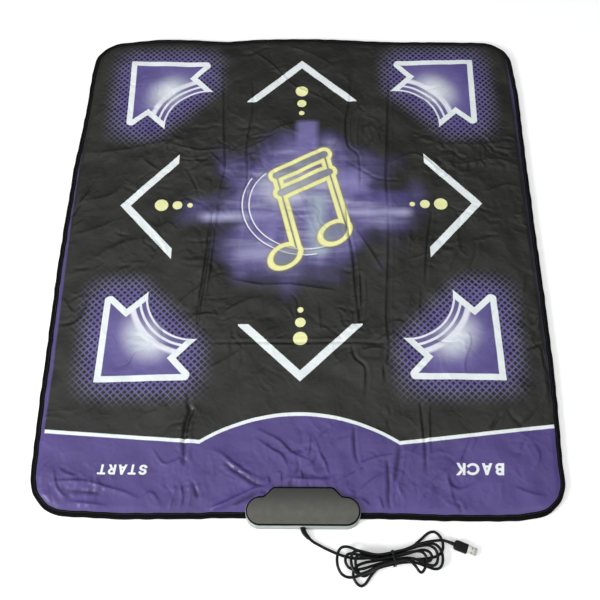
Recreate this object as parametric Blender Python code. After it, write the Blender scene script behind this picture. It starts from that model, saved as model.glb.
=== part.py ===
"""Soft dance mat controller with a clip-on electronics box and a tied USB cord.

The mat is a stack of sheets sewn into an edge binding: a bottom cover, a lower
contact film, a foam spacer with a window under every step field, an upper contact
film and a printed top cover. Ten step fields move down through the foam windows.
The control box takes the near edge of the mat. Its base has posts for the tongue
of the mat, and a circuit board on which a bar and a rubber strip press the tails of
the two contact films.

Metres, +Z up. The mat lies on z = 0. The box is on the -Y edge, and the player
stands with the face to -Y, so the step field called up is next to the box.
"""
import math

import bpy
import bmesh
from mathutils import Vector

MM = 0.001

# Overall sizes of the mat
MAT_WIDTH = 820 * MM
MAT_DEPTH = 930 * MM
MAT_CORNER = 58 * MM
CORNER_STEPS = 7

# Clearances
GAP = 0.3 * MM
NOTCH_GAP = 0.4 * MM
OVERRUN = 2 * MM

# Thickness of each sheet
BOTTOM_T = 1.2 * MM
FILM_T = 0.4 * MM
FOAM_T = 3.0 * MM
COVER_T = 0.8 * MM

# Edge binding
BIND_WIDTH = 11 * MM
BIND_WALL = 1.2 * MM
BIND_LEAF = 0.6 * MM
BIND_ROUND = 1.0 * MM

# Step fields: three by three, in the room that the margins and gaps leave on the mat
SIDE_MARGIN = 52.5 * MM
FAR_MARGIN = 25.5 * MM
NEAR_STRIP = 195.5 * MM
COLUMN_GAP = 50 * MM
ROW_GAP = 47 * MM
PAD_CORNER = 14 * MM
PAD_CROWN = 2.0 * MM
CONTACT_MARGIN = 8 * MM

# The two long fields beside the box
STRIP_PAD_WIDTH = 150 * MM
STRIP_PAD_DEPTH = 60 * MM
STRIP_PAD_FROM_SIDE = 137 * MM
STRIP_PAD_FROM_EDGE = 72 * MM

# Control box: its width is the hump, the two shoulders, two short lands and the round ends
BOX_OFFSET_X = 6 * MM
BOX_DEPTH = 43 * MM
BOX_OVERHANG = 12 * MM
HUMP_WIDTH = 84 * MM
HUMP_DEPTH = 14 * MM
HUMP_SHOULDER = 20 * MM
BACK_LAND = 1.5 * MM
SLOT_LAND = 1.0 * MM
UPPER_SHELL_H = 4.7 * MM
BOX_WALL = 2.0 * MM
BOX_TOP_T = 2.0 * MM
BOX_TOP_ROUND = 1.8 * MM
BOX_FOOT_ROUND = 0.6 * MM
LIP_T = 1.2 * MM
LIP_DEPTH = 2.2 * MM

# Screws, bosses and posts of the box
SCREW_R = 1.3 * MM
SCREW_HEAD_R = 2.5 * MM
SCREW_HEAD_H = 1.8 * MM
SCREW_HEAD_SUNK = 0.8 * MM
SCREW_TIP_BELOW_TOP = 3.6 * MM
BOSS_R = 3.5 * MM
BOSS_WEB = 2.1 * MM
END_SCREW_INSET = 19 * MM
HUMP_SCREW_CLEAR = 3.5 * MM
HUMP_SCREW_BACK = 1 * MM
POST_R = 2.0 * MM
POST_CLEAR = 2.0 * MM
POST_LAND = 4.0 * MM
POST_RISE = 1.0 * MM

# Tongue and film tails that reach into the box
TONGUE_REACH = 9 * MM
TAIL_WIDTH = 24 * MM
TAIL_SPLIT = 4 * MM
TAIL_RAMP = 6 * MM

# Circuit board, and the bar and strip that clamp the film tails on it
BOARD_T = 1.6 * MM
BOARD_FRONT_V = 9 * MM
BOARD_BACK_ROOM = 1.7 * MM
BOARD_SIDE_LAND = 7 * MM
STANDOFF_R = 2.6 * MM
CLAMP_FROM_BACK = 10 * MM
CLAMP_SCREW_CLEAR = 7 * MM
CLAMP_SCREW_R = 1.0 * MM
CLAMP_HEAD_R = 1.9 * MM
CLAMP_HEAD_H = 1.4 * MM
STRIP_OVER = 1 * MM
STRIP_DEPTH = 5 * MM
STRIP_T = 1.2 * MM
BAR_OVER = 5 * MM
BAR_DEPTH = 7 * MM
BAR_T = 1.5 * MM

# Parts on the board: each place is across the board, and in front of the film tails
CHIP_SIZE = (16 * MM, 7.5 * MM, 2.4 * MM)
CHIP_PLACE = (-12 * MM, 9 * MM)
CRYSTAL_SIZE = (11 * MM, 4.6 * MM, 3.4 * MM)
CRYSTAL_CORNER = 2 * MM
CRYSTAL_PLACE = (14 * MM, 4 * MM)
CAPACITOR_R = 2.5 * MM
CAPACITOR_H = 6.5 * MM
CAPACITOR_PLACE = (27 * MM, 10 * MM)

# Strain relief and cord
CORD_D = 4.2 * MM
RELIEF_Z = 6.0 * MM
RELIEF_NECK_R = 3.0 * MM
RELIEF_FLANGE_R = 4.4 * MM
RELIEF_FLANGE_T = 1.4 * MM
RELIEF_RIB_R = 4.6 * MM
RELIEF_END_R = 3.2 * MM
RELIEF_RIBS = 7
RELIEF_GROOVE = 0.7 * MM
INNER_LEAD_D = 3.4 * MM

# Plug
PLUG_WIDTH = 14.6 * MM
PLUG_HEIGHT = 7.8 * MM
PLUG_LENGTH = 20 * MM
NECK_LENGTH = 11 * MM
NECK_R = 3.1 * MM
NECK_RIB = 0.5 * MM
NECK_WALL = 0.4 * MM
NECK_SHOULDER = 0.8 * MM
PLUG_SHELL_WIDTH = 12.0 * MM
PLUG_SHELL_HEIGHT = 4.5 * MM
PLUG_SHELL_LENGTH = 13.5 * MM
PLUG_SHELL_SHEET = 0.35 * MM
PLUG_SHELL_CORNER = 0.9 * MM
TONGUE_T = 1.8 * MM

# Places that follow from the sizes above
MAT_Y = BOX_OVERHANG / 2
NEAR_EDGE = MAT_Y - MAT_DEPTH / 2
BOX_FRONT = NEAR_EDGE - BOX_OVERHANG
BOX_WIDTH = HUMP_WIDTH + 2 * (HUMP_SHOULDER + BACK_LAND) + BOX_DEPTH
PAD_PITCH_X = (MAT_WIDTH - 2 * SIDE_MARGIN + COLUMN_GAP) / 3
PAD_PITCH_Y = (MAT_DEPTH - NEAR_STRIP - FAR_MARGIN + ROW_GAP) / 3
PAD_WIDTH = PAD_PITCH_X - COLUMN_GAP
PAD_DEPTH = PAD_PITCH_Y - ROW_GAP
PATTERN_Y = NEAR_EDGE + NEAR_STRIP + 1.5 * PAD_PITCH_Y - ROW_GAP / 2
Z_LOWER_FILM = BOTTOM_T + GAP
Z_FOAM = Z_LOWER_FILM + FILM_T + GAP
Z_UPPER_FILM = Z_FOAM + FOAM_T + GAP
Z_COVER = Z_UPPER_FILM + FILM_T + GAP
Z_COVER_TOP = Z_COVER + COVER_T
BIND_TOP = Z_COVER_TOP + GAP + BIND_LEAF
LAYER_INSET = BIND_WALL + GAP
BOX_FLOOR = BOTTOM_T
LOWER_SHELL_H = Z_COVER_TOP + GAP + SLOT_LAND + LIP_DEPTH
BOX_TOP = LOWER_SHELL_H + GAP + UPPER_SHELL_H
BOX_CEILING = BOX_TOP - BOX_TOP_T
BOARD_TOP = Z_UPPER_FILM - GAP
BOARD_BOTTOM = BOARD_TOP - BOARD_T
STRIP_Z = Z_UPPER_FILM + FILM_T + GAP
BAR_Z = STRIP_Z + STRIP_T + GAP
BOX_BACK_V = BOX_DEPTH + HUMP_DEPTH
TONGUE_TIP_V = BOX_BACK_V - TONGUE_REACH
TAIL_EDGE_U = TAIL_SPLIT / 2 + TAIL_WIDTH
POST_U = TAIL_EDGE_U + POST_CLEAR + POST_R
POST_V = BOX_BACK_V - BOX_WALL - (TONGUE_REACH - BOX_WALL) / 2
TONGUE_WIDTH = 2 * (POST_U + POST_LAND)
BOARD_BACK_V = TONGUE_TIP_V - GAP - TAIL_RAMP / 2 - BOARD_BACK_ROOM
BOARD_DEPTH = BOARD_BACK_V - BOARD_FRONT_V
CLAMP_SCREW_U = TAIL_EDGE_U + CLAMP_SCREW_CLEAR
CLAMP_V = BOARD_BACK_V - CLAMP_FROM_BACK
BOARD_WIDTH = 2 * (CLAMP_SCREW_U + BOARD_SIDE_LAND)
HUMP_SCREW_U = BOARD_WIDTH / 2 + HUMP_SCREW_CLEAR + BOSS_R
STRIP_WIDTH = 2 * (TAIL_EDGE_U + STRIP_OVER)
BAR_WIDTH = 2 * (CLAMP_SCREW_U + BAR_OVER)
TAIL_TIP_V = CLAMP_V - STRIP_DEPTH


def box_point(u, v, z=0.0):
    """A place given from the middle of the box's front edge, as a world point."""
    return Vector((BOX_OFFSET_X + u, BOX_FRONT + v, z))


def make_material(name, colour, roughness, metallic=0.0):
    """A plain Principled material."""
    mat = bpy.data.materials.new(name)
    mat.use_nodes = True
    shader = mat.node_tree.nodes["Principled BSDF"]
    shader.inputs["Base Color"].default_value = (*colour, 1.0)
    shader.inputs["Roughness"].default_value = roughness
    shader.inputs["Metallic"].default_value = metallic
    mat.diffuse_color = (*colour, 1.0)
    return mat


def add_object(name, bm, mat, origin=(0, 0, 0), smooth_angle=35):
    """Turn a bmesh in world places into an object whose origin is at a given place."""
    bmesh.ops.recalc_face_normals(bm, faces=bm.faces)
    bmesh.ops.translate(bm, verts=bm.verts, vec=-Vector(origin))
    mesh = bpy.data.meshes.new(name)
    bm.to_mesh(mesh)
    bm.free()
    mesh.shade_smooth()
    mesh.set_sharp_from_angle(angle=math.radians(smooth_angle))
    mesh.materials.append(mat)
    obj = bpy.data.objects.new(name, mesh)
    obj.location = origin
    bpy.context.collection.objects.link(obj)
    return obj


def boolean(obj, tool, operation):
    """Cut or join with a hidden tool object."""
    tool.hide_render = True
    tool.display_type = "WIRE"
    mod = obj.modifiers.new(operation.lower(), "BOOLEAN")
    mod.operation = operation
    mod.solver = "EXACT"
    mod.object = tool


def add_loft(bm, rings, cap_ends=True):
    """Join rings of points, each with as many points as the next, by quads."""
    loops = [[bm.verts.new(point) for point in ring] for ring in rings]
    count = len(loops[0])
    for low, high in zip(loops, loops[1:]):
        for i in range(count):
            j = (i + 1) % count
            bm.faces.new((low[i], low[j], high[j], high[i]))
    if cap_ends:
        bm.faces.new(loops[0])
        bm.faces.new(loops[-1])
    else:
        for i in range(count):
            j = (i + 1) % count
            bm.faces.new((loops[-1][i], loops[-1][j], loops[0][j], loops[0][i]))


def flat_ring(outline, z):
    """An outline in the plan as a ring of points at one height."""
    return [Vector((x, y, z)) for x, y in outline]


def add_prism(bm, outline, z_low, z_high):
    """A flat piece of a given outline."""
    add_loft(bm, [flat_ring(outline, z_low), flat_ring(outline, z_high)])


def add_block(bm, centre, width, depth, z_low, z_high):
    """A rectangular block."""
    x, y = centre[0], centre[1]
    corners = [(-1, -1), (1, -1), (1, 1), (-1, 1)]
    outline = [(x + sx * width / 2, y + sy * depth / 2) for sx, sy in corners]
    add_prism(bm, outline, z_low, z_high)


def circle(centre, radius, steps=16):
    """A round outline in the plan."""
    angles = [2 * math.pi * i / steps for i in range(steps)]
    return [(centre[0] + radius * math.cos(a), centre[1] + radius * math.sin(a)) for a in angles]


def add_round(bm, centre, radius, z_low, z_high, steps=16):
    """An upright round rod."""
    add_prism(bm, circle(centre, radius, steps), z_low, z_high)


def arc(centre, radius, start, end, steps):
    """Points on an arc, angles in degrees."""
    points = []
    for i in range(steps + 1):
        a = math.radians(start + (end - start) * i / steps)
        points.append((centre[0] + radius * math.cos(a), centre[1] + radius * math.sin(a)))
    return points


def rounded_rectangle(centre, width, depth, radius, steps):
    """A rectangle with round corners, counterclockwise from its near right corner."""
    x, y = centre
    hx, hy = width / 2 - radius, depth / 2 - radius
    points = arc((x + hx, y - hy), radius, -90, 0, steps)
    points += arc((x + hx, y + hy), radius, 0, 90, steps)
    points += arc((x - hx, y + hy), radius, 90, 180, steps)
    points += arc((x - hx, y - hy), radius, 180, 270, steps)
    return points


def mat_outline(inset):
    """The outline of the mat, drawn in from its edge."""
    size = (MAT_WIDTH - 2 * inset, MAT_DEPTH - 2 * inset)
    return rounded_rectangle((0, MAT_Y), size[0], size[1], MAT_CORNER - inset, CORNER_STEPS)


def grow_outline(points, distance):
    """Move each point of a counterclockwise outline out along its own normal."""
    grown = []
    count = len(points)
    for i in range(count):
        before = Vector(points[i - 1])
        here = Vector(points[i])
        after = Vector(points[(i + 1) % count])
        edge_in = (here - before).normalized()
        edge_out = (after - here).normalized()
        normal = Vector((edge_in.y + edge_out.y, -edge_in.x - edge_out.x)).normalized()
        stretch = normal.dot(Vector((edge_in.y, -edge_in.x)))
        grown.append(tuple(here + normal * distance / stretch))
    return grown


def hump_rise(u):
    """How far the back of the box stands out at a distance from its middle."""
    s = 1 - (u - HUMP_WIDTH / 2) / HUMP_SHOULDER
    s = min(max(s, 0.0), 1.0)
    return HUMP_DEPTH * (1 - math.cos(math.pi * s)) / 2


def box_outline(grow=0.0):
    """The plan of the box: a bar with round ends, and a hump towards the mat."""
    end_r = BOX_DEPTH / 2
    end_u = BOX_WIDTH / 2 - end_r
    half = HUMP_WIDTH / 2
    shoulder_steps = 8
    right = arc((end_u, end_r), end_r, -90, 90, 12)
    shoulder = []
    for i in range(shoulder_steps + 1):
        u = half + HUMP_SHOULDER * (1 - i / shoulder_steps)
        shoulder.append((u, BOX_DEPTH + hump_rise(u)))
    half_outline = right + shoulder
    left = [(-u, v) for u, v in reversed(half_outline)]
    plan = [(BOX_OFFSET_X + u, BOX_FRONT + v) for u, v in half_outline + left]
    return grow_outline(plan, grow) if grow else plan


def pad_fields():
    """Name, centre and size of each step field."""
    names = {
        (0, -1): "up",
        (0, 1): "down",
        (-1, 0): "right",
        (1, 0): "left",
        (-1, -1): "up_right",
        (1, -1): "up_left",
        (-1, 1): "down_right",
        (1, 1): "down_left",
    }
    fields = []
    for (column, row), name in names.items():
        centre = (column * PAD_PITCH_X, PATTERN_Y + row * PAD_PITCH_Y)
        fields.append((name, centre, PAD_WIDTH, PAD_DEPTH))
    strip_x = MAT_WIDTH / 2 - STRIP_PAD_FROM_SIDE
    strip_y = NEAR_EDGE + STRIP_PAD_FROM_EDGE
    fields.append(("start", (-strip_x, strip_y), STRIP_PAD_WIDTH, STRIP_PAD_DEPTH))
    fields.append(("back", (strip_x, strip_y), STRIP_PAD_WIDTH, STRIP_PAD_DEPTH))
    return fields


def field_outline(field, grow=0.0, steps=3):
    """The outline of a step field."""
    _, centre, width, depth = field
    return rounded_rectangle(centre, width + 2 * grow, depth + 2 * grow, PAD_CORNER + grow, steps)


def make_window_cutter():
    """All the windows of the step fields as one tool, through every sheet."""
    bm = bmesh.new()
    for field in pad_fields():
        add_prism(bm, field_outline(field, GAP), -OVERRUN, BIND_TOP + OVERRUN)
    return add_object("window_cutter", bm, TOOL)


def make_notch_cutter():
    """The room that the sheets leave for the control box."""
    bm = bmesh.new()
    add_prism(bm, box_outline(NOTCH_GAP), -OVERRUN, BIND_TOP + OVERRUN)
    return add_object("notch_cutter", bm, TOOL)


def make_tongue(name, z_low, z_high):
    """The tongue of a sheet, which the posts of the box hold, as a tool to join."""
    bm = bmesh.new()
    back = BOX_BACK_V + NOTCH_GAP + OVERRUN
    centre = box_point(0, (TONGUE_TIP_V + back) / 2)
    add_block(bm, centre, TONGUE_WIDTH, back - TONGUE_TIP_V, z_low, z_high)
    return add_object(name, bm, TOOL)


def make_post_holes():
    """The holes of the tongue, one round each post."""
    bm = bmesh.new()
    for side in (-1, 1):
        centre = box_point(side * POST_U, POST_V)
        add_round(bm, centre, POST_R + GAP, -OVERRUN, BIND_TOP + OVERRUN)
    return add_object("post_hole_cutter", bm, TOOL)


def make_upper_tail():
    """The tail of the upper film, which runs straight in over the board."""
    bm = bmesh.new()
    back = BOX_BACK_V + NOTCH_GAP + OVERRUN
    centre = box_point(-(TAIL_SPLIT + TAIL_WIDTH) / 2, (TAIL_TIP_V + back) / 2)
    add_block(bm, centre, TAIL_WIDTH, back - TAIL_TIP_V, Z_UPPER_FILM, Z_UPPER_FILM + FILM_T)
    return add_object("upper_tail_tool", bm, TOOL)


def make_lower_tail():
    """The tail of the lower film, which climbs from the floor of the box to the board."""
    bm = bmesh.new()
    back = BOX_BACK_V + NOTCH_GAP + OVERRUN
    ramp_foot = TONGUE_TIP_V - GAP
    profile = [(back, Z_LOWER_FILM), (ramp_foot, Z_LOWER_FILM)]
    profile.append((ramp_foot - TAIL_RAMP / 2, Z_UPPER_FILM))
    profile.append((TAIL_TIP_V, Z_UPPER_FILM))
    slant = FILM_T / 2
    top = [(v - (slant if 0 < i < 3 else 0), z + FILM_T) for i, (v, z) in enumerate(profile)]
    section = profile + list(reversed(top))
    low_u = TAIL_SPLIT / 2
    rings = []
    for u in (low_u, low_u + TAIL_WIDTH):
        rings.append([box_point(u, v, z) for v, z in section])
    add_loft(bm, rings)
    return add_object("lower_tail_tool", bm, TOOL)


def make_sheet(name, mat, z_low, thickness, inset=LAYER_INSET):
    """A plain sheet of the mat, with the notch for the box."""
    bm = bmesh.new()
    add_prism(bm, mat_outline(inset), z_low, z_low + thickness)
    sheet = add_object(name, bm, mat)
    boolean(sheet, NOTCH, "DIFFERENCE")
    return sheet


def make_mat_sheets():
    """The five sheets from the floor up."""
    make_sheet("bottom_cover", RUBBERY, 0.0, BOTTOM_T, BIND_WIDTH + GAP)

    lower_film = make_sheet("lower_contact_film", FILM, Z_LOWER_FILM, FILM_T)
    boolean(lower_film, make_lower_tail(), "UNION")

    foam = make_sheet("foam_spacer", FOAM, Z_FOAM, FOAM_T)
    boolean(foam, WINDOWS, "DIFFERENCE")

    upper_film = make_sheet("upper_film", FILM, Z_UPPER_FILM, FILM_T)
    boolean(upper_film, WINDOWS, "DIFFERENCE")
    boolean(upper_film, make_upper_tail(), "UNION")

    cover = make_sheet("top_cover", VINYL, Z_COVER, COVER_T)
    boolean(cover, make_tongue("cover_tongue_tool", Z_COVER, Z_COVER_TOP), "UNION")
    boolean(cover, WINDOWS, "DIFFERENCE")
    boolean(cover, POST_HOLES, "DIFFERENCE")


def make_binding():
    """The folded band sewn round the edge, from one side of the box to the other."""
    web = BIND_WALL
    profile = [
        (BIND_ROUND, 0.0),
        (0.0, BIND_ROUND),
        (0.0, BIND_TOP - BIND_ROUND),
        (BIND_ROUND, BIND_TOP),
        (BIND_WIDTH, BIND_TOP),
        (BIND_WIDTH, BIND_TOP - BIND_LEAF),
        (web, BIND_TOP - BIND_LEAF),
        (web, BOTTOM_T),
        (BIND_WIDTH, BOTTOM_T),
        (BIND_WIDTH, 0.0),
    ]
    right_end = BOX_OFFSET_X + BOX_WIDTH / 2 + NOTCH_GAP
    left_end = BOX_OFFSET_X - BOX_WIDTH / 2 - NOTCH_GAP
    paths = []
    for inset, z in profile:
        path = mat_outline(inset)
        edge_y = NEAR_EDGE + inset
        path = [(right_end, edge_y)] + path + [(left_end, edge_y)]
        paths.append([Vector((x, y, z)) for x, y in path])
    rings = [list(ring) for ring in zip(*paths)]
    bm = bmesh.new()
    add_loft(bm, rings)
    add_object("edge_binding", bm, BINDING)


def make_step_fields():
    """A crowned cover panel and a contact patch for each step field."""
    rise = [(0.0, 0.0), (0.06, 0.35), (0.16, 0.68), (0.34, 0.92), (0.6, 1.0)]
    for field in pad_fields():
        name, centre, width, depth = field
        bm = bmesh.new()
        rings = [flat_ring(field_outline(field), Z_COVER)]
        half = min(width, depth) / 2
        for share, height in rise:
            inset = share * half
            corner = PAD_CORNER * (1 - share)
            outline = rounded_rectangle(centre, width - 2 * inset, depth - 2 * inset, corner, 3)
            rings.append(flat_ring(outline, Z_COVER_TOP + height * PAD_CROWN))
        add_loft(bm, rings)
        pivot = (centre[0], centre[1], Z_COVER)
        add_object("step_pad_" + name, bm, VINYL, pivot)

        bm = bmesh.new()
        patch = field_outline(field, -CONTACT_MARGIN)
        add_prism(bm, patch, Z_UPPER_FILM, Z_UPPER_FILM + FILM_T)
        pivot = (centre[0], centre[1], Z_UPPER_FILM)
        add_object("upper_contact_" + name, bm, CARBON, pivot)


def case_screw_places():
    """Plan places of the four screws that hold the shells together."""
    end_u = BOX_WIDTH / 2 - END_SCREW_INSET
    end_v = BOX_DEPTH / 2
    room = hump_rise(HUMP_SCREW_U + BOSS_R) - BOX_WALL - GAP - LIP_T - BOSS_R
    hump_v = BOX_DEPTH + min(HUMP_SCREW_BACK, room)
    return [(-end_u, end_v), (end_u, end_v), (-HUMP_SCREW_U, hump_v), (HUMP_SCREW_U, hump_v)]


def boss_web_z():
    """Lowest height of the web that the head of a case screw bears on."""
    return SCREW_HEAD_SUNK + SCREW_HEAD_H + GAP


def make_lower_shell():
    """The base tray with its bosses, posts, cord notch and slot for the mat."""
    outer = box_outline()
    foot = grow_outline(outer, -BOX_FOOT_ROUND)
    inner = grow_outline(outer, -BOX_WALL)
    rings = [
        flat_ring(foot, 0.0),
        flat_ring(outer, BOX_FOOT_ROUND),
        flat_ring(outer, LOWER_SHELL_H),
        flat_ring(inner, LOWER_SHELL_H),
        flat_ring(inner, BOX_FLOOR),
    ]
    bm = bmesh.new()
    add_loft(bm, rings)
    shell = add_object("box_lower_shell", bm, BAND)

    bm = bmesh.new()
    sunk = BOX_FLOOR / 2
    boss_top = boss_web_z() + BOSS_WEB
    for u, v in case_screw_places():
        add_round(bm, box_point(u, v), BOSS_R, sunk, boss_top)
    for side in (-1, 1):
        post = box_point(side * POST_U, POST_V)
        add_round(bm, post, POST_R, sunk, Z_COVER_TOP + POST_RISE)
        rear = box_point(side * CLAMP_SCREW_U, CLAMP_V)
        add_round(bm, rear, STANDOFF_R, sunk, BOARD_BOTTOM - GAP)
        front = box_point(side * CLAMP_SCREW_U, BOARD_FRONT_V + STANDOFF_R + GAP)
        add_round(bm, front, STANDOFF_R, sunk, BOARD_BOTTOM - GAP)
    boolean(shell, add_object("lower_boss_tool", bm, TOOL), "UNION")

    bm = bmesh.new()
    for u, v in case_screw_places():
        add_round(bm, box_point(u, v), SCREW_HEAD_R + GAP, -OVERRUN, boss_web_z())
    boolean(shell, add_object("screw_head_cutter", bm, TOOL), "DIFFERENCE")

    bm = bmesh.new()
    for u, v in case_screw_places():
        add_round(bm, box_point(u, v), SCREW_R + GAP, -OVERRUN / 2, boss_top + OVERRUN)
    for side in (-1, 1):
        rear = box_point(side * CLAMP_SCREW_U, CLAMP_V)
        add_round(bm, rear, CLAMP_SCREW_R + GAP, BOX_FLOOR + GAP, BOARD_TOP, 12)
    slot_v = (BOX_BACK_V - BOX_WALL - OVERRUN, BOX_BACK_V + OVERRUN)
    slot = box_point(0, sum(slot_v) / 2)
    slot_top = Z_COVER_TOP + GAP
    add_block(bm, slot, TONGUE_WIDTH + 2 * GAP, slot_v[1] - slot_v[0], BOX_FLOOR, slot_top)
    notch_r = RELIEF_NECK_R + GAP
    notch = box_point(0, BOX_WALL / 2)
    notch_top = LOWER_SHELL_H + OVERRUN
    add_block(bm, notch, 2 * notch_r, BOX_WALL + 2 * OVERRUN, RELIEF_Z - notch_r, notch_top)
    boolean(shell, add_object("lower_cutter", bm, TOOL), "DIFFERENCE")


def make_upper_shell():
    """The lid, with a lip inside the tray, screw bosses and a tab over the cord notch."""
    outer = box_outline()
    base_z = LOWER_SHELL_H + GAP
    lip_out = grow_outline(outer, -BOX_WALL - GAP)
    lip_in = grow_outline(outer, -BOX_WALL - GAP - LIP_T)
    rings = [
        flat_ring(lip_in, BOX_CEILING),
        flat_ring(lip_in, LOWER_SHELL_H - LIP_DEPTH),
        flat_ring(lip_out, LOWER_SHELL_H - LIP_DEPTH),
        flat_ring(lip_out, base_z),
        flat_ring(outer, base_z),
    ]
    round_steps = 3
    for i in range(round_steps + 1):
        a = math.pi / 2 * i / round_steps
        inset = BOX_TOP_ROUND * (1 - math.cos(a))
        z = BOX_TOP - BOX_TOP_ROUND + BOX_TOP_ROUND * math.sin(a)
        rings.append(flat_ring(grow_outline(outer, -inset), z))
    bm = bmesh.new()
    add_loft(bm, rings)
    shell = add_object("box_upper_shell", bm, LID)

    bm = bmesh.new()
    boss_low = boss_web_z() + BOSS_WEB + GAP
    for u, v in case_screw_places():
        add_round(bm, box_point(u, v), BOSS_R, boss_low, BOX_CEILING + BOX_TOP_T / 2)
    tab_low = RELIEF_Z + RELIEF_NECK_R + GAP
    tab_depth = BOX_WALL + GAP + LIP_T
    tab = box_point(0, tab_depth / 2)
    add_block(bm, tab, 2 * RELIEF_NECK_R, tab_depth, tab_low, base_z + BOX_TOP_T / 2)
    boolean(shell, add_object("upper_boss_tool", bm, TOOL), "UNION")

    bm = bmesh.new()
    for u, v in case_screw_places():
        tip = BOX_TOP - SCREW_TIP_BELOW_TOP + GAP
        add_round(bm, box_point(u, v), SCREW_R + GAP, boss_low - OVERRUN, tip)
    lip_room = RELIEF_FLANGE_R + GAP
    room = box_point(0, BOX_WALL + GAP + LIP_T / 2)
    flange_top = RELIEF_Z + lip_room
    add_block(bm, room, 2 * lip_room, LIP_T + 2 * GAP, tab_low - OVERRUN, flange_top)
    boolean(shell, add_object("upper_cutter", bm, TOOL), "DIFFERENCE")


def make_screw(name, place, head_z, head_r, head_h, shank_r, tip_z, mat, head_up=False):
    """A round-headed screw, with its head below or above its shank."""
    bm = bmesh.new()
    far_head = head_z + (head_h if head_up else 0)
    near_head = head_z + (0 if head_up else head_h)
    crown = far_head + (-1 if head_up else 1) * head_h / 3
    taper = tip_z + (1 if head_up else -1) * shank_r
    levels = [
        (0.7 * head_r, far_head),
        (head_r, crown),
        (head_r, near_head),
        (shank_r, near_head),
        (shank_r, taper),
        (0.4 * shank_r, tip_z),
    ]
    add_loft(bm, [flat_ring(circle(place, radius, 12), z) for radius, z in levels])
    add_object(name, bm, mat)


def make_screws():
    """The four case screws and the two clamp screws."""
    tip = BOX_TOP - SCREW_TIP_BELOW_TOP
    for i, (u, v) in enumerate(case_screw_places()):
        place = box_point(u, v)
        name = "case_screw_" + str(i + 1)
        make_screw(name, place, SCREW_HEAD_SUNK, SCREW_HEAD_R, SCREW_HEAD_H, SCREW_R, tip, STEEL)
    head_z = BAR_Z + BAR_T + GAP
    tip = BOX_FLOOR + 2 * GAP
    for i, side in enumerate((-1, 1)):
        place = box_point(side * CLAMP_SCREW_U, CLAMP_V)
        name = "clamp_screw_" + str(i + 1)
        make_screw(name, place, head_z, CLAMP_HEAD_R, CLAMP_HEAD_H, CLAMP_SCREW_R, tip, STEEL, True)


def board_place(place):
    """A place on the board, from how far across it and in front of the film tails it is."""
    return box_point(place[0], TAIL_TIP_V - place[1])


def make_electronics():
    """The board, its parts, and the strip and bar that press the film tails on it."""
    bm = bmesh.new()
    middle = box_point(0, (BOARD_FRONT_V + BOARD_BACK_V) / 2)
    add_block(bm, middle, BOARD_WIDTH, BOARD_DEPTH, BOARD_BOTTOM, BOARD_TOP)
    board = add_object("circuit_board", bm, BOARD)

    bm = bmesh.new()
    clamp = box_point(0, CLAMP_V)
    add_block(bm, clamp, BAR_WIDTH, BAR_DEPTH, BAR_Z, BAR_Z + BAR_T)
    bar = add_object("clamp_bar", bm, STEEL)

    bm = bmesh.new()
    for side in (-1, 1):
        place = box_point(side * CLAMP_SCREW_U, CLAMP_V)
        add_round(bm, place, CLAMP_SCREW_R + GAP, BOARD_BOTTOM - GAP, BAR_Z + BAR_T + GAP, 12)
    holes = add_object("clamp_hole_cutter", bm, TOOL)
    boolean(board, holes, "DIFFERENCE")
    boolean(bar, holes, "DIFFERENCE")

    bm = bmesh.new()
    add_block(bm, clamp, STRIP_WIDTH, STRIP_DEPTH, STRIP_Z, STRIP_Z + STRIP_T)
    add_object("pressure_strip", bm, RUBBER)

    part_z = BOARD_TOP + GAP
    bm = bmesh.new()
    add_block(bm, board_place(CHIP_PLACE), CHIP_SIZE[0], CHIP_SIZE[1], part_z, part_z + CHIP_SIZE[2])
    add_object("controller_chip", bm, RUBBER)

    bm = bmesh.new()
    centre = board_place(CRYSTAL_PLACE)
    outline = rounded_rectangle((centre.x, centre.y), CRYSTAL_SIZE[0], CRYSTAL_SIZE[1], CRYSTAL_CORNER, 3)
    add_prism(bm, outline, part_z, part_z + CRYSTAL_SIZE[2])
    add_object("clock_crystal", bm, STEEL)

    bm = bmesh.new()
    add_round(bm, board_place(CAPACITOR_PLACE), CAPACITOR_R, part_z, part_z + CAPACITOR_H)
    add_object("capacitor", bm, BINDING)


def bezier(points, s):
    """A point of a cubic curve with four control points."""
    a, b, c, d = points
    r = 1 - s
    return a * r ** 3 + b * 3 * r * r * s + c * 3 * r * s * s + d * s ** 3


def ring_across(centre, direction, half_width, half_height, steps, flatness=2.0):
    """A ring of points square to a direction: round, or nearer a rectangle above 2."""
    side = direction.cross(Vector((0, 0, 1))).normalized()
    up = side.cross(direction).normalized()
    points = []
    for i in range(steps):
        a = 2 * math.pi * (i + 0.5) / steps
        c, s = math.cos(a), math.sin(a)
        x = math.copysign(abs(c) ** (2 / flatness), c) * half_width
        y = math.copysign(abs(s) ** (2 / flatness), s) * half_height
        points.append(centre + side * x + up * y)
    return points


# Control points of the bent strain relief outside the wall, from the box's front edge
RELIEF_PATH = [
    box_point(0, -RELIEF_FLANGE_T - GAP, RELIEF_Z),
    box_point(0.2 * MM, -7.5 * MM, RELIEF_Z),
    box_point(4.2 * MM, -11.5 * MM, 4.4 * MM),
    box_point(9.2 * MM, -16.4 * MM, 3.6 * MM),
]


def relief_end():
    """The end face's centre and direction of the strain relief."""
    direction = (RELIEF_PATH[3] - RELIEF_PATH[2]).normalized()
    return RELIEF_PATH[3], direction


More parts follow.
